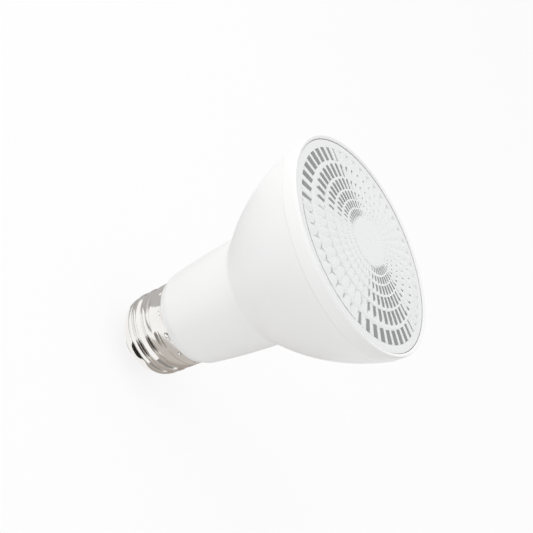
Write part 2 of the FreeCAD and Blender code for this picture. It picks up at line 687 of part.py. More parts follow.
def heat_sink():
    """Make the pressed aluminium bowl: floor under the emitter board, wall along the cup."""
    sink = body("heat_sink_body")
    outer = "(housing_wall + sink_gap)"
    inner = f"({outer} + sink_wall)"
    edge = f"({CUP_TOP} - 2 * housing_wall - sink_top_drop)"
    turn(
        sink,
        "sink_form",
        [
            [
                ("0", LEDGE),
                (cup_radius(LEDGE, outer), LEDGE),
                (cup_radius(edge, outer), edge, f"cup_bow - {outer}", -1),
                (cup_radius(edge, inner), edge),
                (cup_radius(SINK_TOP, inner), SINK_TOP, f"cup_bow - {inner}", 1),
                ("0", SINK_TOP),
            ]
        ],
    )
    drill_for_wires(sink, LEDGE, "sink_floor")
    drill_for_screws(sink, "screw_holes", "screw_radius + fit_gap / 2", LEDGE, "sink_floor")
    return node(sink, "heat_sink")


def disc_with_holes(name, low, thickness):
    """Make a round plate of the emitter stack with its wire and screw holes."""
    plate = body(f"{name}_body")
    blank = plate.newObject("PartDesign::AdditiveCylinder", f"{name}_blank")
    bind(blank, Radius=board_radius(), Height=thickness)
    place(blank, z=low)
    drill_for_wires(plate, low, thickness)
    drill_for_screws(plate, f"{name}_screw_holes", "screw_radius + 2 * fit_gap", low, thickness)
    return node(plate, name)


def led_emitter():
    """Make the emitter: round base with the raised phosphor field."""
    emitter = body("led_emitter_body")
    turn(
        emitter,
        "emitter_form",
        [
            [
                ("0", BOARD_TOP),
                ("emitter_radius", BOARD_TOP),
                ("emitter_radius", f"{BOARD_TOP} + emitter_height"),
                ("emitter_radius - emitter_border", f"{BOARD_TOP} + emitter_height"),
                ("emitter_radius - emitter_border", f"{BOARD_TOP} + emitter_height + emitter_dome_height"),
                ("0", f"{BOARD_TOP} + emitter_height + emitter_dome_height"),
            ]
        ],
    )
    return node(emitter, "led_emitter")


def board_screws():
    """Make the slotted screws that hold the emitter board to the heat sink."""
    screws = body("board_screws_body")
    screws.AllowCompound = True
    shank = screws.newObject("PartDesign::AdditiveCylinder", "shank")
    bind(shank, Radius="screw_radius", Height="sink_floor + pad_thickness + board_thickness")
    place(shank, y=screw_place(), z=LEDGE)
    head = screws.newObject("PartDesign::AdditiveCylinder", "head")
    bind(head, Radius="screw_head_radius", Height="screw_head_height")
    place(head, y=screw_place(), z=BOARD_TOP)
    slot = screws.newObject("PartDesign::SubtractiveBox", "slot")
    bind(slot, Length="2 * screw_head_radius", Width="screw_slot", Height="screw_head_height / 2")
    place(
        slot,
        x="-screw_head_radius",
        y=f"{screw_place()} - screw_slot / 2",
        z=f"{BOARD_TOP} + screw_head_height / 2",
    )
    pattern = repeat_round(screws, shank, "screws", "screw_count")
    pattern.Originals = [shank, head, slot]
    return node(screws, "board_screws")


def block(name, size, corner):
    """Make a box of a size at a corner."""
    box = doc.addObject("Part::Box", name)
    bind(box, Length=size[0], Width=size[1], Height=size[2])
    return place(box, *corner)


def rod(name, radius, length, start, direction="z"):
    """Make a round bar of a radius that runs from a point along z, or along x or y."""
    bar = doc.addObject("Part::Cylinder", name)
    bind(bar, Radius=radius, Height=length)
    turns = {
        "z": FreeCAD.Rotation(),
        "x": FreeCAD.Rotation(FreeCAD.Vector(0, 1, 0), 90),
        "y": FreeCAD.Rotation(FreeCAD.Vector(1, 0, 0), -90),
    }
    bar.Placement = FreeCAD.Placement(FreeCAD.Vector(), turns[direction])
    return place(bar, *start)


def joined(name, pieces):
    """Fuse pieces into one solid and list it as a node."""
    whole = doc.addObject("Part::MultiFuse", f"{name}_whole")
    whole.Shapes = pieces
    return node(whole, name)


def cut(name, base, tool):
    """Take a tool from a base."""
    rest = doc.addObject("Part::Cut", name)
    rest.Base = base
    rest.Tool = tool
    return rest


def driver_board():
    """Make the driver board: a tongue for the spigot's grooves and a wider upper part."""
    card = body("driver_board_body")
    back = "(-card_thickness / 2)"
    tongue = card.newObject("PartDesign::AdditiveBox", "tongue")
    tongue_height = f"{CARD_SHOULDER} - {CARD_LOW}"
    bind(tongue, Length=f"2 * {CARD_TONGUE}", Width="card_thickness", Height=tongue_height)
    place(tongue, x=f"-{CARD_TONGUE}", y=back, z=CARD_LOW)
    upper = card.newObject("PartDesign::AdditiveBox", "upper")
    upper_height = f"{CARD_TOP} - {CARD_SHOULDER}"
    bind(upper, Length=f"2 * {CARD_HALF_WIDTH}", Width="card_thickness", Height=upper_height)
    place(upper, x=f"-{CARD_HALF_WIDTH}", y=back, z=CARD_SHOULDER)
    return node(card, "driver_board")


def can_capacitor(name, radius, length, middle_x, face):
    """Make a can on the board's front (-1) or back (1) face, with its two bent leads."""
    sign = "-" if face < 0 else ""
    middle_y = f"({sign}(card_thickness / 2 + {radius} + fit_gap / 2))"
    can = rod(f"{name}_can", radius, length, (middle_x, middle_y, CAN_LEVEL))
    bead = doc.addObject("Part::Torus", f"{name}_bead")
    bind(bead, Radius1=radius, Radius2="can_bead")
    place(bead, middle_x, middle_y, f"{CAN_LEVEL} + lead_reach")
    pieces = [cut(f"{name}_beaded", can, bead)]
    foot_level = f"({CAN_LEVEL} - lead_reach)"
    foot_y = "(card_thickness / 2)" if face > 0 else middle_y
    for side in ("-", "+"):
        lead_x = f"({middle_x} {side} {radius} / 3)"
        drop = (lead_x, middle_y, foot_level)
        pieces.append(rod(f"{name}_lead", "lead_radius", "lead_reach", drop))
        foot = (lead_x, foot_y, foot_level)
        pieces.append(rod(f"{name}_foot", "lead_radius", f"{radius} + fit_gap / 2", foot, "y"))
    return joined(name, pieces)


def tall_block(name, half_x, half_y, middle_y, low, height):
    """Make a box centred on X nought and on a line at middle_y, from a level upwards."""
    corner = (f"-{half_x}", f"{middle_y} - {half_y}", low)
    return block(name, (f"2 * {half_x}", f"2 * {half_y}", height), corner)


def transformer():
    """Make the transformer: core of two E halves, bobbin on its middle leg, winding on the bobbin."""
    window = "(fit_gap + bobbin_wall + winding_depth + winding_gap)"
    half_width = f"(core_leg / 2 + {window} + core_side)"
    half_flange = "(core_depth / 2 + fit_gap + bobbin_wall + winding_depth + bobbin_margin)"
    middle_y = f"(-card_thickness / 2 - {half_flange})"
    foot = f"({CARD_LOW} + transformer_level)"
    window_low = f"({foot} + core_yoke)"
    window_height = "(core_height - 2 * core_yoke)"
    core = tall_block("core_block", half_width, "(core_depth / 2)", middle_y, foot, "core_height")
    for name, start in (("left", f"-core_leg / 2 - {window}"), ("right", "core_leg / 2")):
        size = (window, "core_depth", window_height)
        gap = block(f"core_window_{name}", size, (start, f"{middle_y} - core_depth / 2", window_low))
        core = cut(f"core_{name}", core, gap)
    node(core, "transformer_core")

    bore_x = "(core_leg / 2 + fit_gap)"
    bore_y = "(core_depth / 2 + fit_gap)"
    tube_x = f"({bore_x} + bobbin_wall)"
    tube_y = f"({bore_y} + bobbin_wall)"
    flange_x = f"(core_leg / 2 + {window} - fit_gap)"
    low = f"({window_low} + fit_gap)"
    height = f"({window_height} - 2 * fit_gap)"
    high_flange = f"({low} + {height} - bobbin_wall)"
    spool = doc.addObject("Part::MultiFuse", "bobbin_spool")
    spool.Shapes = [
        tall_block("bobbin_tube", tube_x, tube_y, middle_y, low, height),
        tall_block("bobbin_flange_low", flange_x, half_flange, middle_y, low, "bobbin_wall"),
        tall_block("bobbin_flange_high", flange_x, half_flange, middle_y, high_flange, "bobbin_wall"),
    ]
    bore = tall_block("bobbin_bore", bore_x, bore_y, middle_y, low, height)
    node(cut("bobbin_open", spool, bore), "transformer_bobbin")

    coil_low = f"({low} + bobbin_wall)"
    coil_height = f"({height} - 2 * bobbin_wall)"
    coil_x = f"({tube_x} + winding_depth)"
    coil_y = f"({tube_y} + winding_depth)"
    coil = tall_block("winding_block", coil_x, coil_y, middle_y, coil_low, coil_height)
    rounded = doc.addObject("Part::Fillet", "winding_rounded")
    rounded.Base = coil
    doc.recompute()
    rounding = number("winding_depth")
    upright = [
        index
        for index, edge in enumerate(coil.Shape.Edges, start=1)
        if edge.BoundBox.ZLength > edge.BoundBox.XLength + edge.BoundBox.YLength
    ]
    rounded.Edges = [(index, rounding, rounding) for index in upright]
    hollow = tall_block("winding_bore", tube_x, tube_y, middle_y, coil_low, coil_height)
    return node(cut("winding_open", rounded, hollow), "transformer_winding")


def film_capacitor():
    """Make the boxed film capacitor flat on the board's front face."""
    corner = ("film_place", "-card_thickness / 2 - film_depth", f"{CAN_LEVEL} - lead_reach")
    return node(block("film_case", ("film_width", "film_depth", "film_height"), corner), "film_capacitor")


def drum_choke():
    """Make the choke: ferrite drum and the winding in its waist, on the board's back face."""
    middle_y = "(card_thickness / 2 + choke_radius + fit_gap / 2)"
    waist_height = "(choke_length - 2 * choke_flange)"
    pieces = [
        rod("choke_foot", "choke_radius", "choke_flange", ("-choke_place", middle_y, CHOKE_LEVEL)),
        rod("choke_core_bar", "choke_waist", "choke_length", ("-choke_place", middle_y, CHOKE_LEVEL)),
        rod(
            "choke_head",
            "choke_radius",
            "choke_flange",
            ("-choke_place", middle_y, f"{CHOKE_LEVEL} + choke_length - choke_flange"),
        ),
    ]
    joined("choke_core", pieces)
    outer = rod(
        "choke_coil_outer",
        "choke_radius - choke_margin",
        waist_height,
        ("-choke_place", middle_y, f"{CHOKE_LEVEL} + choke_flange"),
    )
    inner = rod(
        "choke_coil_inner",
        "choke_waist",
        waist_height,
        ("-choke_place", middle_y, f"{CHOKE_LEVEL} + choke_flange"),
    )
    return node(cut("choke_coil_open", outer, inner), "choke_winding")


def flat_chip(name, start_x, legs):
    """Make a moulded chip on the board's back face with legs at both ends of its width."""
    back = "(card_thickness / 2)"
    case = ("chip_width", "chip_depth", "chip_height")
    pieces = [block(f"{name}_case", case, (start_x, back, CHIP_LEVEL))]
    for index in range(legs):
        level = f"({CHIP_LEVEL} + chip_height * {index + 0.5} / {legs} - chip_leg_width / 2)"
        size = ("chip_width + 2 * chip_leg", "chip_leg_thickness", "chip_leg_width")
        pieces.append(block(f"{name}_leg", size, (f"{start_x} - chip_leg", back, level)))
    return joined(name, pieces)


def fuse_resistor():
    """Make the fusible resistor: body along the axis with both leads bent to the board's front."""
    middle_y = "(-card_thickness / 2 - fuse_radius - fit_gap / 2)"
    reach = "(fuse_radius + fit_gap / 2)"
    pieces = [rod("fuse_case", "fuse_radius", "fuse_length", ("-fuse_place", middle_y, FUSE_LEVEL))]
    pieces.append(
        rod(
            "fuse_wire",
            "lead_radius",
            "fuse_length + 2 * lead_reach",
            ("-fuse_place", middle_y, f"{FUSE_LEVEL} - lead_reach"),
        )
    )
    for level in (f"{FUSE_LEVEL} - lead_reach", f"{FUSE_LEVEL} + fuse_length + lead_reach"):
        pieces.append(rod("fuse_foot", "lead_radius", reach, ("-fuse_place", middle_y, level), "y"))
    return joined("fuse_resistor", pieces)


def varistor():
    """Make the varistor disc flat on the board's front face."""
    start = ("varistor_place", "-card_thickness / 2 - varistor_thickness", f"{CARD_LOW} + varistor_level")
    return node(rod("varistor_disc", "varistor_radius", "varistor_thickness", start, "y"), "varistor")


def small_resistors():
    """Make the row of small resistors on the board's back face as one group."""
    pieces = []
    count = int(number("resistor_count"))
    for index in range(count):
        start = f"({index} - ({count} - 1) / 2) * resistor_pitch - resistor_width / 2"
        size = ("resistor_width", "resistor_height", "resistor_length")
        corner = (start, "card_thickness / 2", f"{CARD_LOW} + resistor_level")
        pieces.append(block("resistor", size, corner))
    group = doc.addObject("Part::Compound", "resistor_group")
    group.Links = pieces
    return node(group, "chip_resistors")


def live_wire():
    """Make the straight wire from inside the contact stem to the driver board."""
    start = ("0", "0", "contact_rim + contact_dome")
    length = f"{CARD_LOW} - contact_rim - contact_dome"
    return node(rod("live_conductor", "wire_radius", length, start), "live_wire")


def elbow(name, middle, heading):
    """Make a quarter bend of wire in the X-Z plane round a middle point.

    The heading is the angle about Y at which the quarter starts.
    """
    bend = doc.addObject("Part::Torus", name)
    bind(bend, Radius1="wire_bend", Radius2="wire_radius")
    bend.Angle3 = 90
    upright = FreeCAD.Rotation(FreeCAD.Vector(1, 0, 0), 90)
    bend.Placement = FreeCAD.Placement(
        FreeCAD.Vector(), FreeCAD.Rotation(FreeCAD.Vector(0, 1, 0), heading).multiply(upright)
    )
    return place(bend, *middle)


def neutral_wire():
    """Make the return wire: down from the driver board, then out to the shell's inner face."""
    bend_x = "(-neutral_place - wire_bend)"
    bend_z = f"({NEUTRAL_LEVEL} + wire_bend)"
    run = f"{SHELL_BORE} - 2 * fit_gap - neutral_place - wire_bend"
    run_start = (f"-{SHELL_BORE} + 2 * fit_gap", "0", NEUTRAL_LEVEL)
    pieces = [
        rod("neutral_drop", "wire_radius", f"{CARD_LOW} - {bend_z}", ("-neutral_place", "0", bend_z)),
        elbow("neutral_bend", (bend_x, "0", bend_z), 90),
        rod("neutral_run", "wire_radius", run, run_start, "x"),
    ]
    return joined("neutral_wire", pieces)


def led_wire(name, side):
    """Make one wire from the driver board's top edge through sink and pad, bent outwards."""
    sign = "-" if side < 0 else ""
    level = f"({BOARD_TOP} + wire_radius + fit_gap / 2)"
    bend_x = f"({sign}({WIRE_PLACE} + wire_bend))"
    run_x = bend_x if side > 0 else f"(-{WIRE_PLACE} - wire_bend - wire_foot)"
    pieces = [
        rod(
            f"{name}_rise",
            "wire_radius",
            f"{level} - wire_bend - {CARD_TOP}",
            (f"{sign}{WIRE_PLACE}", "0", CARD_TOP),
        ),
        elbow(f"{name}_bend", (bend_x, "0", f"{level} - wire_bend"), 0 if side < 0 else -90),
        rod(f"{name}_foot", "wire_radius", "wire_foot", (run_x, "0", level), "x"),
    ]
    return joined(name, pieces)


def export_nodes():
    """Check every object and write each sub-part to its own file."""
    doc.recompute()
    failed = [item.Name for item in doc.Objects if "Invalid" in item.State or "Error" in item.State]
    if failed:
        raise RuntimeError(f"objects that failed: {failed}")
    os.makedirs("parts", exist_ok=True)
    for item in nodes:
        shape = item.Shape
        if shape.isNull() or not shape.isValid() or not shape.Solids:
            raise RuntimeError(f"{item.Label} has no valid solid")
        shape.exportStep(f"parts/{item.Label}.step")
        print(f"{item.Label}: {len(shape.Solids)} solid(s), {shape.Volume:.1f} mm3")


fill_sheet()
screw_shell()
base_insulator()
centre_contact()
housing()
front_ring()
lens()
heat_sink()
disc_with_holes("thermal_pad", SINK_TOP, "pad_thickness")
disc_with_holes("led_board", PAD_TOP, "board_thickness")
led_emitter()
board_screws()
driver_board()
can_capacitor("input_capacitor", "input_can_radius", "input_can_length", "(-input_can_place)", -1)
can_capacitor("output_capacitor", "output_can_radius", "output_can_length", "(output_can_place)", 1)
film_capacitor()
transformer()
drum_choke()
flat_chip("bridge_rectifier", "(-rectifier_place - chip_width)", 2)
flat_chip("controller_chip", "controller_place", 4)
fuse_resistor()
varistor()
small_resistors()
live_wire()
neutral_wire()
led_wire("led_wire_positive", 1)
led_wire("led_wire_negative", -1)
export_nodes()
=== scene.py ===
import logging
import math
from dataclasses import dataclass, field
from enum import Enum
from typing import Any, Optional, Sequence, Union

import bpy
import numpy as np
from mathutils import Matrix, Vector


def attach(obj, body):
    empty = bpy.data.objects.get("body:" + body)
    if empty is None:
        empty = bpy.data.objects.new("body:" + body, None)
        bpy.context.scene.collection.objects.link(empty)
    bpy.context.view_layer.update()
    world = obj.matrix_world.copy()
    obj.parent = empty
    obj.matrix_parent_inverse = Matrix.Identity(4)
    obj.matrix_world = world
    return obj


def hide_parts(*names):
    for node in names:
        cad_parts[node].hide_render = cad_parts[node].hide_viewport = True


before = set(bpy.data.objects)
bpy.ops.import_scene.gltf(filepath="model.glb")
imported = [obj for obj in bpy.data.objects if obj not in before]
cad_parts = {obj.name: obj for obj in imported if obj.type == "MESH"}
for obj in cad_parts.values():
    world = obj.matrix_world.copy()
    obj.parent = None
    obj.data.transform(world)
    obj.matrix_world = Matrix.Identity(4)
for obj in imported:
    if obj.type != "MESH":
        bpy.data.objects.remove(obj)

# The finished look of the reflector bulb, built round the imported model.
# Sizes are millimetres, as on a drawing, and become metres where a mesh is made.
# EASE is the rounding of an edge that is only just broken.

MM = 0.001
TURN = 2.0 * math.pi
ARC_SPANS = 48
CORNER_SPANS = 6
CARD_SPANS = 48
TINY = 1e-6
EASE = 0.1
Array = np.ndarray
Piece = bpy.types.Object
Colour = tuple[float, float, float]
log = logging.getLogger("bulb")
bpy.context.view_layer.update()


class Slot(Enum):
    """The record's material slots that go with the new pieces."""

    SHELL = "nickel_shell"
    INSULATOR = "insulator"
    CONTACT = "contact"
    HOUSING = "housing_white"
    RING = "ring_white"
    LENS = "lens_clear"


# Surfaces


def arc_centre(first: Array, last: Array, radius: float, side: int) -> Array:
    """Find an arc's centre on its chord's middle normal, at sqrt(radius^2 - (chord / 2)^2)."""
    chord = last - first
    half = np.linalg.norm(chord) / 2
    normal = np.array([-chord[1], chord[0]]) / (2 * half) * side
    return (first + last) / 2 - normal * math.sqrt(radius**2 - half**2)


def arc(start: Sequence[float], end: Sequence[float], radius: float, side: int) -> Array:
    """Sample an arc that bulges to the left of its way (side 1) or to the right (side -1)."""
    first, last = np.array(start, float), np.array(end, float)
    centre = arc_centre(first, last, radius, side)
    from_centre = first - centre
    sweep = -2 * side * math.asin(np.linalg.norm(last - first) / 2 / radius)
    angle = np.linspace(0, sweep, ARC_SPANS + 1)
    across = from_centre[0] * np.cos(angle) - from_centre[1] * np.sin(angle)
    up = from_centre[0] * np.sin(angle) + from_centre[1] * np.cos(angle)
    return centre + np.stack([across, up], -1)


def trimmed(edge: Array, start: float, end: float) -> Array:
    """Cut one length off the start of a sampled edge and another off its end."""
    along = np.concatenate([[0.0], np.cumsum(np.linalg.norm(np.diff(edge, axis=0), axis=1))])
    cuts = np.array([start, along[-1] - end])
    ends = np.stack([np.interp(cuts, along, edge[:, axis]) for axis in (0, 1)], -1)
    inside = edge[(along > cuts[0] + TINY) & (along < cuts[1] - TINY)]
    return np.vstack([ends[:1], inside, ends[1:]])


@dataclass
class Profile:
    """A section of a turned piece, drawn corner by corner in (across, up).

    Attributes:
        closed: Whether the last corner joins the first. An open section starts and ends on the axis.
        rounds: Rounding of the corner that each edge leads to, as the length cut off each edge.
    """

    closed: bool
    edges: list[Array] = field(default_factory=list)
    rounds: list[float] = field(default_factory=list)
    start: tuple[float, float] = (0.0, 0.0)
    spot: tuple[float, float] = (0.0, 0.0)

    @classmethod
    def at(cls, across: float, up: float, closed: bool = True) -> "Profile":
        """Start a section at a corner."""
        return cls(closed, start=(across, up), spot=(across, up))

    def line(self, across: float, up: float, rounding: float = 0.0) -> "Profile":
        """Draw a straight edge to a corner, with a rounding at that corner."""
        return self.add((across, up), np.array([self.spot, (across, up)], float), rounding)

    def lines(self, corners: Sequence[Sequence[float]]) -> "Profile":
        """Draw straight edges through several corners, with a rounding where one is given."""
        for corner in corners:
            self.line(*corner)
        return self

    def bow(self, across: float, up: float, radius: float, side: int, rounding: float = 0.0) -> "Profile":
        """Draw an arc to a corner, with a rounding at that corner."""
        return self.add((across, up), arc(self.spot, (across, up), radius, side), rounding)

    def add(self, spot: tuple[float, float], edge: Array, rounding: float) -> "Profile":
        """Add a sampled edge that leads to a corner, with a rounding at that corner."""
        self.edges.append(edge)
        self.rounds.append(rounding)
        self.spot = spot
        return self

    def spots(self) -> Array:
        """Sample the whole section in the order in which it was drawn.

        Each rounded corner is a quadratic curve (1-t)^2 A + 2t(1-t) C + t^2 B between points A and B
        that lie the rounding away from corner C along its two edges.
        """
        edges, rounds = list(self.edges), list(self.rounds)
        if self.closed and self.spot != self.start:
            edges.append(np.array([self.spot, self.start], float))
            rounds.append(0.0)
        count = len(edges)
        parts = []
        share = np.linspace(0, 1, CORNER_SPANS + 1)[1:-1, None]
        weights = ((1 - share) ** 2, 2 * share * (1 - share), share**2)
        for index, edge in enumerate(edges):
            before = rounds[index - 1] if index or self.closed else 0.0
            after = rounds[index] if index < count - 1 or self.closed else 0.0
            kept = trimmed(edge, before, after)
            parts.append(kept)
            if after:
                following = trimmed(edges[(index + 1) % count], after, 0.0)[0]
                parts.append(weights[0] * kept[-1] + weights[1] * edge[-1] + weights[2] * following)
        spots = np.vstack(parts)
        apart = np.linalg.norm(spots - np.roll(spots, 1, axis=0), axis=1) > TINY
        apart[0] |= not self.closed
        return spots[apart]

    def points(self) -> Array:
        """Sample the section in the order that has the solid on the left."""
        across, up = self.spots().T
        area = np.sum(across * np.roll(up, -1) - np.roll(across, -1) * up)
        return np.stack([across, up], -1)[:: 1 if area > 0 else -1]


def all_round(spots: Array, columns: int) -> tuple[Array, Array]:
    """Repeat a section's radii and its heights in each of the columns round the axis."""
    return tuple(np.repeat(spots[:, axis, None], columns, axis=1) for axis in (0, 1))


def lattice(rows: int, columns: int, wrap_rows: bool) -> Array:
    """Number the four corners of each face of a grid whose last column joins the first."""
    row, column = np.meshgrid(np.arange(rows if wrap_rows else rows - 1), np.arange(columns), indexing="ij")
    next_row, next_column = (row + 1) % rows, (column + 1) % columns
    corners = [row * columns + column, row * columns + next_column]
    corners += [next_row * columns + next_column, next_row * columns + column]
    return np.stack(corners, -1).reshape(-1, 4)


def fan(centre: int, first: int, columns: int, upwards: bool) -> Array:
    """Number the triangles between a pole and the row that begins at point number first."""
    column = np.arange(columns)
    ring = [first + column, first + (column + 1) % columns]
    ring = ring if upwards else ring[::-1]
    return np.stack([*ring, np.full(columns, centre)], -1)


def turned(across: Array, up: Array, angles: Optional[Array]) -> Array:
    """Place a grid of radii and heights round the axis: (r cos a, r sin a, h), a going once round."""
    angle = np.arange(across.shape[1]) * TURN / across.shape[1] if angles is None else angles
    return np.stack([across * np.cos(angle), across * np.sin(angle), up], -1)


def in_scene(name: str, data: Any) -> Piece:
    """Make an object of a mesh, a camera or a lamp and link it to the scene."""
    holder = bpy.data.objects.new(name, data)
    bpy.context.scene.collection.objects.link(holder)
    return holder


def mesh_object(name: str, points: Array, faces: Sequence[Array], crease: float = 32.0) -> Piece:
    """Put points and faces into a smooth mesh object.

    Args:
        name: Name of the piece.
        points: Points in millimetres, one row each.
        faces: Arrays of point numbers, one array for each number of corners.
        crease: Angle in degrees over which an edge stays sharp.
    """
    mesh = bpy.data.meshes.new(name)
    mesh.vertices.add(len(points))
    mesh.vertices.foreach_set("co", (points * MM).astype(np.float32).ravel())
    numbers = np.concatenate([part.ravel() for part in faces])
    sizes = np.concatenate([np.full(len(part), part.shape[1]) for part in faces])
    mesh.loops.add(len(numbers))
    mesh.loops.foreach_set("vertex_index", numbers.astype(np.int32))
    mesh.polygons.add(len(sizes))
    mesh.polygons.foreach_set("loop_start", np.concatenate([[0], np.cumsum(sizes)[:-1]]).astype(np.int32))
    mesh.polygons.foreach_set("use_smooth", np.ones(len(sizes), bool))
    mesh.update(calc_edges=True)
    mesh.validate()
    mesh.set_sharp_from_angle(angle=math.radians(crease))
    return in_scene(name, mesh)


def surface(
    name: str,
    across: Array,
    up: Array,
    closed: bool,
    angles: Optional[Array] = None,
    crease: float = 32.0,
) -> Piece:
    """Make a piece from a grid of radii and heights, a row for each point of its section.

    Its columns go round the axis, evenly spaced if no angles are given. A closed section joins
    its last row to its first. An open one has a pole at each end, whose row becomes one point.
    """
    rows, columns = across.shape
    if closed:
        points = turned(across, up, angles).reshape(-1, 3)
        return mesh_object(name, points, [lattice(rows, columns, True)], crease)
    inner = turned(across[1:-1], up[1:-1], angles).reshape(-1, 3)
    poles = np.array([[0.0, 0.0, up[0].mean()], [0.0, 0.0, up[-1].mean()]])
    last_row = (rows - 3) * columns
    faces = [
        lattice(rows - 2, columns, False),
        fan(len(inner), 0, columns, False),
        fan(len(inner) + 1, last_row, columns, True),
    ]
    return mesh_object(name, np.vstack([inner, poles]), faces, crease)


def lathe(name: str, profile: Profile, columns: int = 240) -> Piece:
    """Turn a section round the axis."""
    return surface(name, *all_round(profile.points(), columns), profile.closed)


def smooth_step(value: Array) -> Array:
    """Ease from 0 to 1: 3t^2 - 2t^3, with t kept between 0 and 1."""
    share = np.clip(value, 0, 1)
    return share * share * (3 - 2 * share)


# Shader expressions


Value = Union["Wire", float, Sequence[float]]


class Wire:
    """A shader socket that takes part in expressions; each operator adds its Math node."""

    def __init__(self, nodes: "Nodes", socket: bpy.types.NodeSocket) -> None:
        """Wrap a socket of a node tree."""
        self.nodes = nodes
        self.socket = socket

    def math(self, operation: str, *others: Value) -> "Wire":
        """Add a Math node that starts from this socket."""
        return self.nodes.add("ShaderNodeMath", {"operation": operation}, dict(enumerate([self, *others])))

    def __add__(self, other: Value) -> "Wire":
        """Add."""
        return self.math("ADD", other)

    __radd__ = __add__

    def __mul__(self, other: Value) -> "Wire":
        """Multiply."""
        return self.math("MULTIPLY", other)

    __rmul__ = __mul__

    def __sub__(self, other: Value) -> "Wire":
        """Subtract a value from this one."""
        return self.math("SUBTRACT", other)

    def __rsub__(self, other: float) -> "Wire":
        """Subtract this from a number."""
        return self.math("MULTIPLY_ADD", -1.0, other)

    def clipped(self) -> "Wire":
        """Keep between 0 and 1."""
        return self.math("MAXIMUM", 0.0).math("MINIMUM", 1.0)


@dataclass
class Nodes:
    """The node tree of one material."""

    tree: bpy.types.NodeTree

    def add(self, kind: str, settings: dict[str, Any], inputs: dict[Any, Value], output: Any = 0) -> Wire:
        """Add a node.

        Args:
            kind: Type of the node.
            settings: Its own settings, set first.
            inputs: Values or wires for its sockets, by name or number.
            output: Name or number of the output that it returns, wrapped.
        """
        node = self.tree.nodes.new(kind)
        for name, value in settings.items():
            setattr(node, name, value)
        for name, value in inputs.items():
            self.feed(node.inputs[name], value)
        return Wire(self, node.outputs[output])

    def feed(self, socket: bpy.types.NodeSocket, value: Value) -> None:
        """Give an input socket a number or a colour, or link a wire to it."""
        if isinstance(value, Wire):
            self.tree.links.new(value.socket, socket)
        elif socket.type == "RGBA" and len(value) == 3:
            socket.default_value = (*value, 1.0)
        else:
            socket.default_value = value

    def place(self) -> Wire:
        """Return the object's own coordinates."""
        return self.add("ShaderNodeTexCoord", {}, {}, "Object")

    def several(self, kind: str, inputs: dict[Any, Value], outputs: Sequence[Any]) -> list[Wire]:
        """Add a node and wrap several of its outputs."""
        node = self.add(kind, {}, inputs).socket.node
        return [Wire(self, node.outputs[name]) for name in outputs]

    def noise(self, vector: Wire, size: float, detail: float, rough: float = 0.5) -> Wire:
        """Add noise whose blotches measure about a size in millimetres."""
        inputs = {"Vector": vector, "Scale": 1 / (size * MM), "Detail": detail, "Roughness": rough}
        return self.add("ShaderNodeTexNoise", {}, inputs, 0)

    def mix(self, share: Value, first: Value, second: Value) -> Wire:
        """Mix two colours."""
        return self.add("ShaderNodeMix", {"data_type": "RGBA"}, {0: share, 6: first, 7: second}, 2)

    def bump(self, height: Wire, depth: float) -> Wire:
        """Turn a height of 0 to 1 into a bump of a depth in millimetres."""
        return self.add("ShaderNodeBump", {}, {"Height": height, "Distance": depth * MM, "Strength": 1.0})


def new_material(name: str) -> tuple[bpy.types.Material, Nodes]:
    """Make a material and wrap its node tree."""
    made = bpy.data.materials.new(name)
    made.use_nodes = True
    return made, Nodes(made.node_tree)


def shaded(colour: Colour, factor: float) -> Colour:
    """Return a colour made darker or paler by a factor."""
    return tuple(min(1.0, part * factor) for part in colour)


@dataclass(frozen=True)
class Finish:
    """A plain finish: colour with a slow mottle, and a fine grain in gloss and relief.

    Attributes:
        metallic: 1 for bare metal.
        grain: Size of the grain in millimetres.
        relief: Depth of the grain in millimetres.
        mottle: Share by which the colour varies.
        spread: Range over which the roughness varies with the grain.
        sockets: Values that are the same all over, by socket name.
    """

    name: str
    colour: Colour
    roughness: float
    metallic: float = 0.0
    grain: float = 0.3
    relief: float = 0.01
    mottle: float = 0.06
    spread: float = 0.12
    sockets: tuple[tuple[str, Any], ...] = ()

    def material(self) -> bpy.types.Material:
        """Build the material, which is made once and then shared."""
        known = bpy.data.materials.get(self.name)
        if known:
            return known
        made, nodes = new_material(self.name)
        shader = made.node_tree.nodes["Principled BSDF"]
        shader.inputs["Metallic"].default_value = self.metallic
        for name, value in self.sockets:
            shader.inputs[name].default_value = value
        self.dress(nodes, shader)
        return made

    def dress(self, nodes: Nodes, shader: bpy.types.Node) -> None:
        """Link blotched colour, and roughness and relief that follow the grain."""
        place = nodes.place()
        blotch = nodes.noise(place, self.grain * 20, 3.0)
        fine = nodes.noise(place, self.grain, 4.0)
        self.link(nodes, shader, self.mottled(nodes, blotch), (fine - 0.5) * self.spread, fine)

    def mottled(self, nodes: Nodes, share: Wire) -> Wire:
        """Vary the colour by the mottle, from darker to paler."""
        return nodes.mix(share, shaded(self.colour, 1 - self.mottle), shaded(self.colour, 1 + self.mottle))

    def link(self, nodes: Nodes, shader: bpy.types.Node, colour: Wire, gloss: Wire, height: Wire) -> None:
        """Link the colour, what is added to the roughness, and a relief of height 0 to 1."""
        nodes.feed(shader.inputs["Base Color"], colour)
        nodes.feed(shader.inputs["Roughness"], gloss + self.roughness)
        nodes.feed(shader.inputs["Normal"], nodes.bump(height, self.relief))


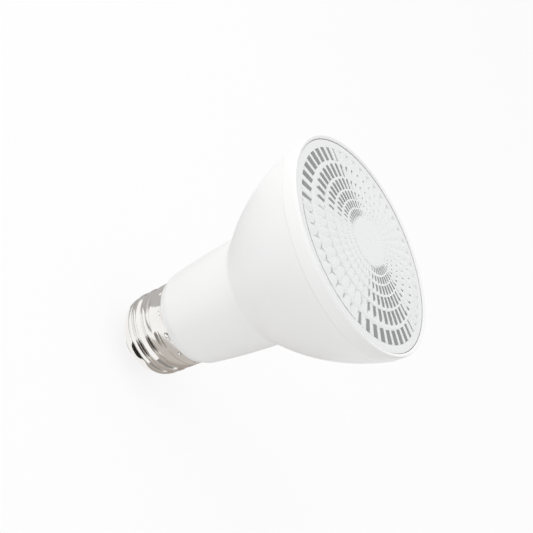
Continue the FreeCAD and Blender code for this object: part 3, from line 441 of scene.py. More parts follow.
@dataclass(frozen=True)
class SatinMoulding(Finish):
    """White satin plastic: very fine sparkle grain, and a slow swell left by the mould."""

    spread: float = 0.1
    swell: float = 9.0
    swell_spread: float = 0.08
    swell_share: float = 0.3

    def dress(self, nodes: Nodes, shader: bpy.types.Node) -> None:
        """Link a fine and a slow relief, and let the gloss vary softly."""
        place = nodes.place()
        slow = nodes.noise(place, self.swell, 1.0)
        fine = nodes.noise(place, self.grain, 3.0)
        gloss = (slow - 0.5) * self.swell_spread + (fine - 0.5) * self.spread
        height = fine * (1 - self.swell_share) + slow * self.swell_share
        self.link(nodes, shader, self.mottled(nodes, slow), gloss, height)


@dataclass(frozen=True)
class RolledPlate(Finish):
    """Plated sheet formed on rolls: hairlines that run round the axis, and a faint warm bloom."""

    line: float = 0.05
    stretch: float = 0.002
    bloom: float = 6.0
    bloom_spread: float = 0.06
    bloom_shades: tuple[float, float] = (0.93, 1.05)

    def dress(self, nodes: Nodes, shader: bpy.types.Node) -> None:
        """Link hairlines from noise in (radius, angle, height), with the angle held back."""
        place = nodes.place()
        east, north, height = nodes.several("ShaderNodeSeparateXYZ", {0: place}, (0, 1, 2))
        angle = north.math("ARCTAN2", east)
        radius = (east * east + north * north).math("SQRT")
        around = nodes.add("ShaderNodeCombineXYZ", {}, {0: radius, 1: angle * self.stretch, 2: height})
        hair = nodes.noise(around, self.line, 3.0, 0.6)
        bloom = nodes.noise(place, self.bloom, 2.0)
        colour = nodes.mix(bloom, *(shaded(self.colour, shade) for shade in self.bloom_shades))
        gloss = (hair - 0.5) * self.spread + (bloom - 0.5) * self.bloom_spread
        self.link(nodes, shader, colour, gloss, hair)


WHITE = SatinMoulding("satin_white", (0.9, 0.898, 0.895), 0.42, grain=0.12, relief=0.004, mottle=0.008)
BEZEL = SatinMoulding("bezel_white", (0.9, 0.898, 0.895), 0.3, grain=0.1, relief=0.002, mottle=0.005)
NICKEL = RolledPlate("nickel_plate", (0.93, 0.91, 0.89), 0.09, metallic=1.0, relief=0.002)
PLATED = RolledPlate("plated_contact", (0.74, 0.72, 0.69), 0.24, metallic=1.0, relief=0.003)
BLACK_GLAZE = Finish(
    "black_moulding", (0.02, 0.02, 0.022), 0.25, grain=0.2, relief=0.006, sockets=(("Coat Weight", 0.4),)
)
CLEAR = Finish(
    "clear_optic",
    (0.82, 0.825, 0.83),
    0.14,
    metallic=0.35,
    grain=0.4,
    relief=0.001,
    mottle=0.01,
    sockets=(
        ("Transmission Weight", 0.2),
        ("IOR", 1.49),
        ("Coat Weight", 1.0),
        ("Coat Roughness", 0.03),
        ("Coat IOR", 4.0),
    ),
)

# Node, finish, colour, roughness, metallic, and the grain's size and relief
CARRIED = {
    node: Finish(*values)
    for node, *values in (
        ("heat_sink", "pressed_aluminium", (0.78, 0.78, 0.79), 0.34, 1.0, 0.25, 0.006),
        ("thermal_pad", "grey_silicone", (0.42, 0.44, 0.47), 0.7, 0.0, 0.5, 0.02),
        ("led_board", "white_mask", (0.88, 0.88, 0.86), 0.35, 0.0, 0.2, 0.004),
        ("led_emitter", "phosphor", (0.9, 0.72, 0.18), 0.5, 0.0, 0.15, 0.01),
        ("board_screws", "zinc_steel", (0.6, 0.6, 0.61), 0.3, 1.0, 0.1, 0.004),
        ("driver_board", "green_laminate", (0.05, 0.24, 0.1), 0.35, 0.0, 0.4, 0.01),
        ("input_capacitor", "black_sleeve", (0.03, 0.03, 0.04), 0.3, 0.0, 0.5, 0.01),
        ("output_capacitor", "dark_green_sleeve", (0.03, 0.12, 0.07), 0.3, 0.0, 0.5, 0.01),
        ("film_capacitor", "yellow_case", (0.75, 0.5, 0.05), 0.35, 0.0, 0.4, 0.01),
        ("transformer_core", "transformer_ferrite", (0.06, 0.06, 0.065), 0.55, 0.0, 0.2, 0.02),
        ("transformer_bobbin", "bobbin_moulding", (0.03, 0.03, 0.03), 0.45, 0.0, 0.3, 0.01),
        ("transformer_winding", "yellow_tape", (0.72, 0.5, 0.06), 0.3, 0.0, 0.5, 0.02),
        ("choke_core", "choke_ferrite", (0.07, 0.07, 0.075), 0.55, 0.0, 0.2, 0.02),
        ("choke_winding", "enamelled_copper", (0.6, 0.22, 0.07), 0.25, 0.8, 0.2, 0.02),
        ("bridge_rectifier", "rectifier_black", (0.02, 0.02, 0.02), 0.5, 0.0, 0.1, 0.01),
        ("controller_chip", "chip_black", (0.02, 0.02, 0.02), 0.45, 0.0, 0.1, 0.01),
        ("fuse_resistor", "beige_coating", (0.6, 0.48, 0.3), 0.45, 0.0, 0.3, 0.01),
        ("varistor", "blue_coating", (0.04, 0.1, 0.4), 0.35, 0.0, 0.4, 0.02),
        ("chip_resistors", "resistor_black", (0.03, 0.03, 0.03), 0.4, 0.0, 0.1, 0.005),
        ("live_wire", "red_sleeve", (0.5, 0.02, 0.02), 0.4, 0.0, 0.2, 0.004),
        ("neutral_wire", "white_sleeve", (0.8, 0.8, 0.78), 0.4, 0.0, 0.2, 0.004),
        ("led_wire_positive", "red_lead", (0.55, 0.03, 0.03), 0.4, 0.0, 0.2, 0.004),
        ("led_wire_negative", "black_lead", (0.02, 0.02, 0.02), 0.4, 0.0, 0.2, 0.004),
    )
}


def apply_finish(piece: Piece, finish: Finish) -> None:
    """Give a piece one finish in all its slots."""
    if not piece.data.materials:
        piece.data.materials.append(finish.material())
    for holder in piece.material_slots:
        holder.material = finish.material()


def mount(piece: Piece, finish: Finish, slot: Slot, *nodes: str) -> None:
    """Finish a piece, let it ride on the bulb, and let it stand for its nodes, which are hidden."""
    apply_finish(piece, finish)
    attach(piece, "root")
    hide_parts(*nodes)
    log.info("%s: %d faces, for %s", piece.name, len(piece.data.polygons), ", ".join(nodes))


@dataclass
class ScrewBase:
    """The base: formed screw shell, insulator and contact.

    Attributes:
        groove_start: Level of the groove's middle at angle 0 on its first turn.
        turns: Turns over which the groove runs, and fade_turns the share of a turn in which it ends.
        crest_arc: Radius of the thread's crest, and root_arc that of its root.
        full_width: Level from which the crests are full; below it the shell tapers to its lip.
        roll_run: Height of the rolled edge, whose rows lie closer together.
        inner_levels: Levels of the bore's corners above the lip.
        insulator_form: Corners of the insulator after its stem hole, with their roundings.
    """

    top: float = 22.9
    skirt: float = 13.12
    skirt_low: float = 19.7
    crest_step: float = 0.12
    depth: float = 0.7
    pitch: float = 3.629
    groove_start: float = 4.264
    turns: float = 3.86
    fade_turns: float = 0.42
    crest_arc: float = 1.37
    root_arc: float = 0.4
    full_width: float = 12.4
    lip_level: float = 5.3
    lip_radius: float = 9.8
    wall: float = 0.4
    bore: float = 11.9
    edge_round: float = 0.12
    crimps: int = 12
    crimp_turn: float = 4.0
    crimp_drop: float = 0.9
    crimp_size: float = 0.62
    crimp_depth: float = 0.3
    crimp_power: float = 0.8
    step_run: float = 0.4
    soft: float = 0.25
    taper_power: float = 1.8
    roll_run: float = 2.2
    roll_rows: int = 22
    row_step: float = 0.12
    skirt_run: float = 1.7
    skirt_rows: int = 20
    inner_levels: tuple[float, ...] = (9.4, 8.0, 7.0, 6.3, 5.9)
    inner_lag: float = 0.3
    lip_inset: float = 0.04
    columns: int = 480
    plate_level: float = 1.4
    stem_hole: float = 1.6
    insulator_form: tuple[tuple[float, ...], ...] = (
        *((5.6, 1.4, 0.4), (9.7, 5.2, 0.1), (9.7, 5.8), (10.6, 6.5, 0.2)),
        *((11.1, 7.1, 0.2), (11.5, 8.0, 0.2), (11.6, 9.3, 0.2), (1.6, 9.3)),
    )
    plate_flat: float = 2.4
    plate_radius: float = 4.8
    plate_fall: float = 0.3
    plate_bow: float = 9.75
    plate_wall: float = 0.8
    stem_radius: float = 1.5
    stem_bore: float = 0.9
    stem_top: float = 7.6
    plate_columns: int = 160

    def groove(self, phase: Array) -> Array:
        """Work out the thread's depth from its crest, 0 to 1, by the distance in pitches from its groove.

        Over half a pitch h the section is a root arc a, a straight flank and a crest arc b that meet
        smoothly. The flank's slope over the depth d is
        atan2(h, a + b - d) - acos((a + b) / hypot(h, a + b - d)).
        """
        half, arcs = self.pitch / 2, self.root_arc + self.crest_arc
        rest = arcs - self.depth
        slope = math.atan2(half, rest) - math.acos(arcs / math.hypot(half, rest))
        root_run, crest_run = self.root_arc * math.sin(slope), self.crest_arc * math.sin(slope)
        away = np.abs(phase) * self.pitch
        root = self.root_arc - np.sqrt(self.root_arc**2 - np.minimum(away, root_run) ** 2)
        flank = np.clip(away - root_run, 0, half - crest_run - root_run) * math.tan(slope)
        crest = np.sqrt(self.crest_arc**2 - np.minimum(half - away, crest_run) ** 2)
        return 1 - (root + flank + crest - self.crest_arc * math.cos(slope)) / self.depth

    def envelope(self, up: Array) -> Array:
        """Work out the greatest radii at some levels, from the lip out by sqrt(1 - (1 - share)^power)."""
        share = np.clip((up - self.lip_level) / (self.full_width - self.lip_level), 0, 1)
        reach = self.skirt - self.crest_step - self.lip_radius
        return self.lip_radius + reach * np.sqrt(1 - (1 - share) ** self.taper_power)

    def heights(self) -> Array:
        """Work out the outer rows' levels, closer together on the rolled edge and round the crimps."""
        roll = self.lip_level + self.roll_run * np.linspace(0, 1, self.roll_rows) ** 2
        thread = np.arange(roll[-1] + self.row_step, self.top - self.skirt_run - 0.05, self.row_step)
        skirt = np.linspace(self.top - self.skirt_run, self.top - self.edge_round, self.skirt_rows)
        return np.concatenate([roll, thread, skirt])

    def outside(self, up: Array, around: Array) -> Array:
        """Work out the radius of the shell's outside at each level and angle.

        It is skirt - step - depth * groove(phase) * fade, where phase is the distance in pitches
        from the nearest turn of the groove's helix and fade ends the groove over part of a turn. The
        step eases to zero at the skirt. A soft minimum with the envelope rolls the lower edge, and
        each crimp is a rounded dent.
        """
        place = (up - self.groove_start) / self.pitch - around / TURN
        turn = np.round(place)
        fade = smooth_step((self.turns - turn - around / TURN) / self.fade_turns)
        step = self.crest_step * (1 - smooth_step((up - self.skirt_low) / self.step_run + 0.5))
        radius = self.skirt - step - self.depth * self.groove(place - turn) * fade
        limit = self.envelope(up)
        share = np.clip(0.5 + (limit - radius) / (2 * self.soft), 0, 1)
        radius = limit * (1 - share) + radius * share - self.soft * share * (1 - share)
        apart = TURN / self.crimps
        aside = (around - math.radians(self.crimp_turn) + apart / 2) % apart - apart / 2
        reach = np.hypot(aside * self.skirt, up - (self.top - self.crimp_drop)) / self.crimp_size
        return radius - self.crimp_depth * np.cos(np.clip(reach, 0, 1) * math.pi / 2) ** self.crimp_power

    def shell(self) -> Piece:
        """Build the formed shell: the threaded outside, the plain bore and the rolled lip."""
        angle = np.arange(self.columns) * TURN / self.columns
        up, around = np.meshgrid(self.heights(), angle, indexing="ij")
        inside = (
            Profile.at(self.skirt - self.edge_round / 3, self.top - self.edge_round / 3, closed=False)
            .line(self.skirt - self.edge_round, self.top)
            .line(self.bore + self.edge_round, self.top)
            .line(self.bore, self.top - self.edge_round)
        )
        for level in self.inner_levels:
            follows = float(self.envelope(np.array(level - self.inner_lag))) - self.wall
            inside.line(min(self.bore, follows), level, EASE)
        inside.line(self.lip_radius, self.lip_level + self.wall, EASE)
        inside.line(self.lip_radius - self.lip_inset, self.lip_level + self.wall / 2)
        grids = zip((self.outside(up, around), up), all_round(inside.spots(), self.columns))
        return surface("screw_shell_formed", *(np.vstack(pair) for pair in grids), True)

    def insulator(self) -> Piece:
        """Build the insulator: foot round the contact, cone, and the flange in the shell."""
        section = Profile.at(self.stem_hole, self.plate_level).lines(self.insulator_form)
        return lathe("insulator_moulded", section)

    def contact(self) -> Piece:
        """Build the contact: a low crowned plate with a rolled edge, and its hollow stem."""
        section = (
            Profile.at(0.0, 0.0, closed=False)
            .line(self.plate_flat, 0.0)
            .bow(self.plate_radius, self.plate_fall, self.plate_bow, -1, EASE)
            .line(self.plate_radius, self.plate_level, 2 * EASE)
            .line(self.stem_radius, self.plate_level)
            .line(self.stem_radius, self.stem_top)
            .line(self.stem_bore, self.stem_top)
            .line(self.stem_bore, self.plate_wall)
            .line(0.0, self.plate_wall)
        )
        return lathe("contact_pressed", section, self.plate_columns)

    def build(self) -> None:
        """Build and place the base's pieces."""
        mount(self.shell(), NICKEL, Slot.SHELL, "screw_shell")
        mount(self.insulator(), BLACK_GLAZE, Slot.INSULATOR, "base_insulator")
        mount(self.contact(), PLATED, Slot.CONTACT, "centre_contact")


@dataclass
class Casing:
    """The white mouldings: housing and front ring.

    Attributes:
        neck_bow: Radius of the neck's long curve, and cup_bow that of the cup's belly.
        slot_radius: Depth of the two slots that hold the card, from the axis.
        crown: Across and up of the ring's foremost corner.
        lip_step: Across and down from there to the lip, which falls to the lens.
    """

    spigot_low: float = 10.5
    spigot_radius: float = 11.8
    spigot_bore: float = 10.3
    card_low: float = 12.4
    slot_radius: float = 10.95
    slot_half: float = 0.75
    slot_step: float = 0.02
    shell_top: float = 22.9
    bevel_top: float = 25.7
    bevel_low_radius: float = 13.3
    neck_low_radius: float = 14.4
    neck_top: float = 50.9
    neck_top_radius: float = 16.56
    neck_bow: float = 260.0
    corner_run: float = 0.9
    cup_top: float = 80.5
    cup_top_radius: float = 31.6
    cup_bow: float = 60.0
    wall: float = 2.0
    rim_radius: float = 30.65
    rim_bore: float = 28.95
    rim_top: float = 81.6
    ledge: float = 60.5
    ledge_height: float = 2.5
    ledge_width: float = 3.2
    ring_radius: float = 31.75
    crown: tuple[float, float] = (31.5, 84.65)
    crown_drop: float = 1.0
    crown_bow: float = 2.2
    lip_step: tuple[float, float] = (0.35, 0.08)
    lip_wall: float = 0.12
    collar_bore: float = 30.75
    lip_bore: float = 30.62
    lip_under: float = 84.12
    columns: int = 360

    def cup_radius(self, level: float, inset: float = 0.0) -> float:
        """Work out the radius of the cup's bellied wall at a level, inset from its outside."""
        low = np.array([self.neck_top_radius, self.neck_top])
        high = np.array([self.cup_top_radius, self.cup_top])
        across, up = arc_centre(low, high, self.cup_bow, -1)
        return float(across + math.sqrt((self.cup_bow - inset) ** 2 - (level - up) ** 2))

    def housing(self) -> Piece:
        """Build the housing: spigot with the card's slots, bevel, neck, cup, ledge and rim."""
        seat = self.cup_top - 2 * self.wall
        ledge_bore = self.cup_radius(self.ledge, self.wall) - self.ledge_width
        section = (
            Profile.at(self.spigot_bore, self.spigot_low)
            .line(self.spigot_radius, self.spigot_low, EASE)
            .line(self.spigot_radius, self.shell_top)
            .line(self.bevel_low_radius, self.shell_top, 0.12)
            .line(self.neck_low_radius, self.bevel_top, 0.5)
            .bow(self.neck_top_radius, self.neck_top, self.neck_bow, -1, self.corner_run)
            .bow(self.cup_top_radius, self.cup_top, self.cup_bow, -1, 0.12)
            .line(self.rim_radius, self.cup_top)
            .line(self.rim_radius, self.rim_top)
            .line(self.rim_bore, self.rim_top, EASE)
            .line(self.rim_bore, self.cup_top - self.wall, EASE)
            .line(self.cup_radius(seat, self.wall), seat, EASE)
            .bow(self.cup_radius(self.ledge, self.wall), self.ledge, self.cup_bow - self.wall, 1)
            .line(ledge_bore, self.ledge, EASE)
            .line(ledge_bore, self.ledge - self.ledge_height, EASE)
            .line(self.neck_top_radius - self.wall, self.neck_top, 0.3)
            .line(self.neck_low_radius - self.wall, self.bevel_top, 0.2)
            .line(self.spigot_bore, self.shell_top, 0.2)
            .line(self.spigot_bore, self.card_low)
            .line(self.spigot_bore, self.card_low - self.slot_step)
        )
        across, up = all_round(section.points(), self.columns)
        angle = np.arange(self.columns) * TURN / self.columns
        beside = np.abs(np.sin(angle)) * self.spigot_bore < self.slot_half
        walled = (across < self.slot_radius) & (up > self.card_low - self.slot_step / 2) & beside
        return surface("housing_moulded", np.where(walled, self.slot_radius, across), up, True)

    def ring(self) -> Piece:
        """Build the front ring: collar, crowned outer edge and thin rounded lip."""
        across, up = self.crown
        section = (
            Profile.at(self.collar_bore, self.cup_top)
            .line(self.ring_radius, self.cup_top, 0.35)
            .line(self.ring_radius, up - self.crown_drop, EASE)
            .bow(across, up, self.crown_bow, -1, 0.12)
            .line(across - self.lip_step[0], up - self.lip_step[1], 0.12)
            .line(self.lip_bore, self.lip_under + self.lip_wall, 0.08)
            .line(self.lip_bore, self.lip_under)
            .line(self.collar_bore, self.lip_under)
        )
        return lathe("front_ring_moulded", section, self.columns)

    def build(self) -> None:
        """Build and place the white pieces."""
        mount(self.housing(), WHITE, Slot.HOUSING, "housing")
        mount(self.ring(), BEZEL, Slot.RING, "front_ring")


@dataclass
class Optic:
    """The clear optic: domed face with roofed fields, and the light guide below it.

    Attributes:
        field_edge: Outer end of the outermost row of fields.
        side_tilt: Slope of a field's two sides, in degrees.
        side_power: 1 for flat sides, more for sides that steepen away from the ridge.
        row_places: Places of a row's radii from its inner circle to its outer one, 0 to 1.
        roof_share: Share of the roofs' depth at each of these places.
        follow: Share of the dome's slope that a row follows; a step to the next row makes up the rest.
        last_gap: Plain strip inside the outermost row.
        disc_tilt: Slope of the fine flutes at the edge of the middle disc, in degrees.
        flute_start: Radius at which the disc's flutes run out.
        border_form: Radius and height over the border's level, from the fields outwards.
        across_field: Places of the columns in a field, -1 to 1.
    """

    top: float = 84.1
    rise: float = 1.7
    radius: float = 30.65
    border: float = 28.45
    under: float = 81.6
    disc: float = 7.5
    disc_step: float = 0.12
    row_ratio: float = 1.245
    outer_row: float = 4.45
    rows: int = 6
    fields: int = 48
    first_field: float = -1.6
    field_edge: float = 28.2
    side_tilt: float = 20.0
    side_power: float = 1.3
    row_places: tuple[float, ...] = (0.0, 0.25, 0.5, 0.76, 0.84, 0.9, 0.97)
    roof_share: tuple[float, ...] = (1.0, 1.0, 1.0, 1.0, 0.7, 0.45, 0.35)
    follow: float = 0.35
    last_gap: float = 0.3
    disc_tilt: float = 17.0
    flute_start: float = 4.2
    gate_radius: float = 0.85
    gate_depth: float = 0.22
    gate_edge: float = 0.1
    disc_radii: tuple[float, ...] = (1.5, 2.8, 4.0, 4.6, 5.2, 5.8, 6.4, 6.9, 7.25, 7.42)
    border_form: tuple[tuple[float, float], ...] = (
        *((28.25, -0.02), (28.42, -0.07), (28.48, -0.07), (28.78, 0.0), (29.1, 0.0)),
        *((30.3, 0.0), (30.45, -0.04), (30.54, -0.12), (30.58, -0.3)),
    )
    shoulder: float = 0.5
    guide_top: float = 26.5
    guide_foot: float = 9.0
    foot: float = 64.6
    guide_bow: float = 45.0
    cavity: float = 7.2
    cavity_depth: float = 7.5
    cavity_bulge: float = 1.6
    across_field: tuple[float, ...] = (-1.0, -0.93, -0.5, -0.07, 0.0, 0.07, 0.5, 0.93)
    crease: float = 14.0

    def circles(self) -> Array:
        """Radii between the rows of fields, each a ratio from the next, from the disc outwards."""
        outer = (self.border - self.outer_row) / self.row_ratio ** np.arange(self.rows - 2, -1, -1)
        return np.concatenate([[self.disc], outer, [self.field_edge]])

    def dome(self, radius: Array) -> Array:
        """Height of the sphere cap: top + rise - R + sqrt(R^2 - r^2), which ends at the border."""
        ball = (self.border**2 + self.rise**2) / (2 * self.rise)
        return self.top + self.rise - ball + np.sqrt(ball**2 - np.minimum(radius, self.border) ** 2)

    def roof(self, radius: Array, place: Array, count: int, tilt: Array) -> Array:
        """Fall of a field's side below its ridge: w * tan(tilt) / p * |s|^p, w being half its width."""
        half = radius * math.pi / count
        return half * np.tan(np.radians(tilt)) / self.side_power * np.abs(place) ** self.side_power

    def rows_of_fields(self, place: Array) -> tuple[Array, Array]:
        """Work out the rows of fields from each column's place in its field, -1 to 1.

        Round the axis each field is a roof with its ridge in the middle. Along the radius the roofs
        flatten out in the row's outer third, and a step leads down to the next row. The outermost
        row keeps its roofs up to its end.
        """
        circles = self.circles()
        radii = circles[:-1, None] + np.diff(circles)[:, None] * np.array(self.row_places)
        radii[-1] = np.linspace(circles[-2] + self.last_gap, self.field_edge, len(self.row_places))
        share = np.tile(self.roof_share, (len(radii), 1))
        share[-1] = 1
        level = self.dome((circles[1:] + circles[:-1])[:, None] / 2)
        height = level + self.follow * (self.dome(radii) - level)
        across = np.repeat(radii.reshape(-1, 1), len(place), axis=1)
        roof = self.roof(across, place, self.fields, self.side_tilt)
        return across, height.reshape(-1, 1) - share.reshape(-1, 1) * roof

    def middle_disc(self, place: Array) -> tuple[Array, Array]:
        """Work out the disc: the dome raised by its step, a gate mark, and flutes that grow outwards.

        There are two flutes to a field, and their slope grows from nought by a smooth step.
        """
        gate = self.gate_radius
        radii = np.array([0.0, gate, gate + self.gate_edge, *self.disc_radii])
        across = np.repeat(radii[:, None], len(place), axis=1)
        tilt = self.disc_tilt * smooth_step((across - self.flute_start) / (self.disc - self.flute_start))
        flute = np.abs(np.abs(place) - 0.5) * 2
        height = self.dome(across) + self.disc_step - self.roof(across, flute, 2 * self.fields, tilt)
        return across, height - self.gate_depth * np.clip(1 - across / gate, 0, 1)

    def face(self) -> tuple[Array, Array]:
        """Work out the front face's radii and heights, from the edge of the border inwards."""
        place = np.tile(self.across_field, self.fields)
        border = all_round(np.array(self.border_form) + (0, self.top), len(place))
        grids = (self.middle_disc(place), self.rows_of_fields(place), border)
        across, up = (np.vstack(part) for part in zip(*grids))
        return across[::-1], up[::-1]

    def turns(self) -> Array:
        """Turn the columns' places in their fields into angles, once round."""
        field_turn = TURN / self.fields
        inside = (np.array(self.across_field) + 1) / 2 * field_turn
        starts = np.arange(self.fields) * field_turn + math.radians(self.first_field)
        return (starts[:, None] + inside).ravel()

    def build(self) -> None:
        """Build the optic as one closed surface from the hollow over the emitter to the dome."""
        across, up = self.face()
        roof_ball = (self.cavity**2 + self.cavity_bulge**2) / (2 * self.cavity_bulge)
        low = self.foot + self.cavity_depth
        below = (
            Profile.at(0.0, low - self.cavity_bulge, closed=False)
            .bow(self.cavity, low, roof_ball, -1, EASE)
            .line(self.cavity, self.foot, EASE)
            .line(self.guide_foot, self.foot, EASE)
            .bow(self.guide_top, self.under, self.guide_bow, -1, EASE)
            .line(self.radius, self.under, 0.15)
            .line(self.radius, self.top - self.shoulder, EASE)
            .line(self.radius - EASE, self.top - self.shoulder)
        )
        grids = zip(all_round(below.spots(), across.shape[1]), (across, up))
        whole = (np.vstack(pair) for pair in grids)
        piece = surface("lens_optic", *whole, False, self.turns(), self.crease)
        mount(piece, CLEAR, Slot.LENS, "lens")


@dataclass(frozen=True)
class FloorCard:
    """A crescent of card on the floor, as a photographer lays it round polished metal.

    Attributes:
        radius: Distance of its middle line from the bulb's axis.
        half_width: Half its width at the middle; its ends run out to points.
        first: Direction of its first end, in degrees from the camera's side towards +X.
        last: Direction of its last end.
    """

    name: str
    radius: float
    half_width: float
    first: float
    last: float
    shade: Colour

    def points(self, level: float) -> Array:
        """Work out both edges: radius +- half_width * (1 - t^4), t from -1 to 1 along the card."""
        along = np.linspace(-1, 1, CARD_SPANS + 1)
        turn = np.radians(self.first + (self.last - self.first) * (along + 1) / 2)
        half = self.half_width * (1 - along**4)
        reach = np.stack([self.radius - half, self.radius + half])
        return np.stack([reach * np.sin(turn), -reach * np.cos(turn), np.full(reach.shape, level)], -1)


FLOOR_CARDS = (
    FloorCard("card_left", 52.0, 39.0, -188.0, -56.0, (0.5, 0.49, 0.48)),
    FloorCard("card_left_near", 18.5, 2.0, -150.0, -4.0, (0.28, 0.27, 0.26)),
    FloorCard("card_left_far", 46.0, 4.0, -150.0, -4.0, (0.3, 0.29, 0.28)),
    FloorCard("card_right", 24.0, 10.0, 22.0, 175.0, (0.4, 0.365, 0.33)),
    FloorCard("card_right_skirt", 37.0, 5.0, -4.0, 175.0, (0.55, 0.52, 0.49)),
    FloorCard("card_right_far", 70.0, 28.0, 18.0, 175.0, (0.34, 0.31, 0.28)),
    FloorCard("card_near_dark", 20.0, 6.5, -12.0, 36.0, (0.02, 0.018, 0.016)),
    FloorCard("card_gap", 30.0, 3.6, -10.0, 36.0, (0.22, 0.2, 0.18)),
    FloorCard("card_far_dark", 68.0, 26.0, -10.0, 36.0, (0.03, 0.027, 0.024)),
)
SIDE_CARD = (((160, -120, 0), (160, 260, 0)), ((160, -120, 70), (160, 260, 70)))


def sheet(name: str, points: Array) -> Piece:
    """Make a sheet from points in rows and columns."""
    rows, columns = points.shape[:2]
    corner = (np.arange(rows - 1)[:, None] * columns + np.arange(columns - 1)).ravel()
    faces = np.stack([corner, corner + 1, corner + columns + 1, corner + columns], -1)
    piece = mesh_object(name, points.reshape(-1, 3), [faces])
    return piece


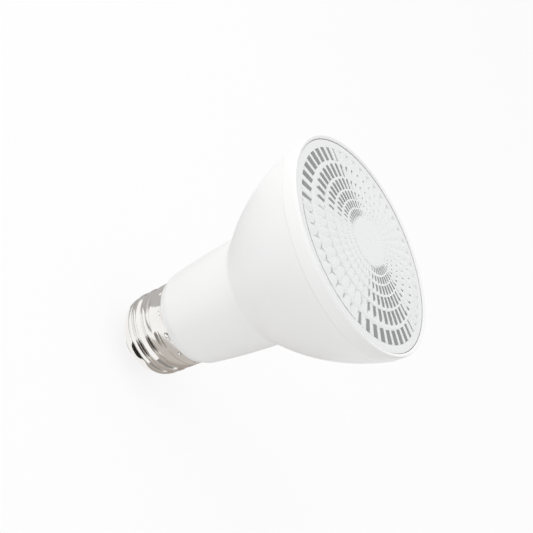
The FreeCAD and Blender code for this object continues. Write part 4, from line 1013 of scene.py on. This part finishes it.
@dataclass
class Studio:
    """Floor, light and camera.

    Attributes:
        tilt: Angle between the line of sight and the bulb's axis, in degrees.
        roll: Turn of the picture about the line of sight, in degrees.
        sky_level: Strength of the world where it lights, 1 where it is seen.
        floor_glow: Share of plain white in the floor where it is seen; the rest takes the shadow.
        hood_elevation: Lower and upper edge of the hood, in degrees over the lens.
        card_gap: Height from one floor card to the next.
    """

    eye: tuple[float, float, float] = (-5.24, -216.43, 176.49)
    tilt: float = 60.524
    roll: float = 24.376
    focal: float = 59.449
    sky_level: float = 0.84
    floor_colour: float = 0.9
    floor_glow: float = 0.85
    key_power: float = 1.05
    hood_elevation: tuple[float, float] = (50.0, 74.0)
    hood_radius: float = 700.0
    hood_side: float = 70.0
    hood_columns: int = 36
    hood_middle: float = 85.0
    hood_shade: Colour = (0.07, 0.07, 0.07)
    side_shade: Colour = (0.3, 0.28, 0.26)
    floor_reach: float = 3000.0
    card_low: float = 0.3
    card_gap: float = 0.05
    lamp_place: tuple[float, float, float] = (-420.0, -160.0, 420.0)
    lamp_size: float = 420.0
    lamp_aim: float = 45.0

    def camera(self) -> None:
        """Set the camera at the photograph's viewing angle.

        Its right, up and back directions are columns of the turn: right = (sin r, cos t cos r,
        sin t cos r), up = (-cos r, cos t sin r, sin t sin r), back = (0, -sin t, cos t).
        """
        tilt, roll = math.radians(self.tilt), math.radians(self.roll)
        lean, rise = math.cos(tilt), math.sin(tilt)
        right = (math.sin(roll), lean * math.cos(roll), rise * math.cos(roll))
        up = (-math.cos(roll), lean * math.sin(roll), rise * math.sin(roll))
        data = bpy.data.cameras.new("camera")
        data.lens = self.focal
        data.sensor_width = 36.0
        data.clip_start = 0.01
        data.clip_end = 20.0
        holder = in_scene("camera", data)
        turn = Matrix((right, up, (0.0, -rise, lean))).transposed().to_4x4()
        holder.matrix_world = Matrix.Translation(Vector(self.eye) * MM) @ turn
        bpy.context.scene.camera = holder

    def seen_directly(self, nodes: Nodes) -> Wire:
        """Return 1 for rays from the camera, or reflected or passed on by metal and glass, else 0."""
        rays = ("Is Camera Ray", "Is Glossy Ray", "Is Transmission Ray")
        camera, glossy, passed = nodes.several("ShaderNodeLightPath", {}, rays)
        return (camera + glossy + passed).clipped()

    def sky(self) -> None:
        """Set a white world: full white where it is seen, a plain level where it lights."""
        world = bpy.data.worlds.new("white_studio")
        world.use_nodes = True
        bpy.context.scene.world = world
        nodes = Nodes(world.node_tree)
        strength = self.seen_directly(nodes) * (1 - self.sky_level) + self.sky_level
        nodes.feed(world.node_tree.nodes["Background"].inputs["Color"], (1.0, 1.0, 1.0))
        nodes.feed(world.node_tree.nodes["Background"].inputs["Strength"], strength)

    def floor(self) -> None:
        """Lay the pale floor: white where it is seen, less the shadow that falls on it."""
        side = np.array([-self.floor_reach, self.floor_reach])
        floor = sheet("floor", np.stack([*np.meshgrid(side, side), np.zeros((2, 2))], -1))
        made, nodes = new_material("floor_white")
        shader = made.node_tree.nodes["Principled BSDF"]
        plainly = {"Base Color": (self.floor_colour,) * 3, "Roughness": 1.0, "Specular IOR Level": 0.0}
        for name, value in plainly.items():
            nodes.feed(shader.inputs[name], value)
        glow = nodes.add("ShaderNodeEmission", {}, {"Color": (1.0, 1.0, 1.0), "Strength": 1.0})
        share = self.seen_directly(nodes) * self.floor_glow
        plain = Wire(nodes, shader.outputs[0])
        both = nodes.add("ShaderNodeMixShader", {}, {0: share, 1: plain, 2: glow})
        nodes.feed(made.node_tree.nodes["Material Output"].inputs["Surface"], both)
        floor.data.materials.append(made)

    def for_gloss(self, card: Piece, shade: Colour) -> None:
        """Let only gloss see a card, in one even shade."""
        made, nodes = new_material(card.name)
        even = nodes.add("ShaderNodeEmission", {}, {"Color": shade, "Strength": 1.0})
        nodes.feed(made.node_tree.nodes["Material Output"].inputs["Surface"], even)
        card.data.materials.append(made)
        for ray in ("camera", "diffuse", "shadow", "transmission"):
            setattr(card, f"visible_{ray}", False)

    def lay_cards(self) -> None:
        """Lay the crescents of card on the floor, each a little over the one before."""
        for index, card in enumerate(FLOOR_CARDS):
            points = card.points(self.card_low + self.card_gap * index)
            self.for_gloss(sheet(card.name, points), card.shade)

    def hood(self) -> None:
        """Hang a dark hood behind the bulb, a patch of a sphere round the lens, for gloss only.

        A point at elevation e and azimuth a is (R cos e sin a, R cos e cos a, lens + R sin e).
        """
        azimuths = np.linspace(-self.hood_side, self.hood_side, self.hood_columns)
        rise, side = np.meshgrid(np.radians(self.hood_elevation), np.radians(azimuths), indexing="ij")
        flat = self.hood_radius * np.cos(rise)
        height = self.hood_middle + self.hood_radius * np.sin(rise)
        points = np.stack([flat * np.sin(side), flat * np.cos(side), height], -1)
        self.for_gloss(sheet("hood", points), self.hood_shade)

    def lamp(self) -> None:
        """Hang a soft square lamp that looks at the bulb's middle."""
        data = bpy.data.lights.new("key_lamp", "AREA")
        data.size = self.lamp_size * MM
        data.energy = self.key_power
        holder = in_scene("key_lamp", data)
        holder.location = Vector(self.lamp_place) * MM
        sight = Vector((0, 0, self.lamp_aim * MM)) - holder.location
        holder.rotation_euler = sight.to_track_quat("-Z", "Y").to_euler()
        holder.visible_glossy = False

    def build(self) -> None:
        """Set camera, world, floor, cards and lamp."""
        self.camera()
        self.sky()
        self.floor()
        self.lay_cards()
        self.hood()
        self.for_gloss(sheet("side_card", np.array(SIDE_CARD, float)), self.side_shade)
        self.lamp()


def dress_carried() -> None:
    """Give each node that stays its own finish."""
    for name, finish in CARRIED.items():
        apply_finish(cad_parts[name], finish)
        log.info("%s: %s", name, finish.name)


def main() -> None:
    """Build the bulb's pieces in order, then the studio."""
    logging.basicConfig(level=logging.INFO, format="%(name)s %(message)s")
    ScrewBase().build()
    Casing().build()
    Optic().build()
    dress_carried()
    Studio().build()
    bpy.context.scene.view_settings.view_transform = "Standard"


if __name__ == "__main__":
    main()
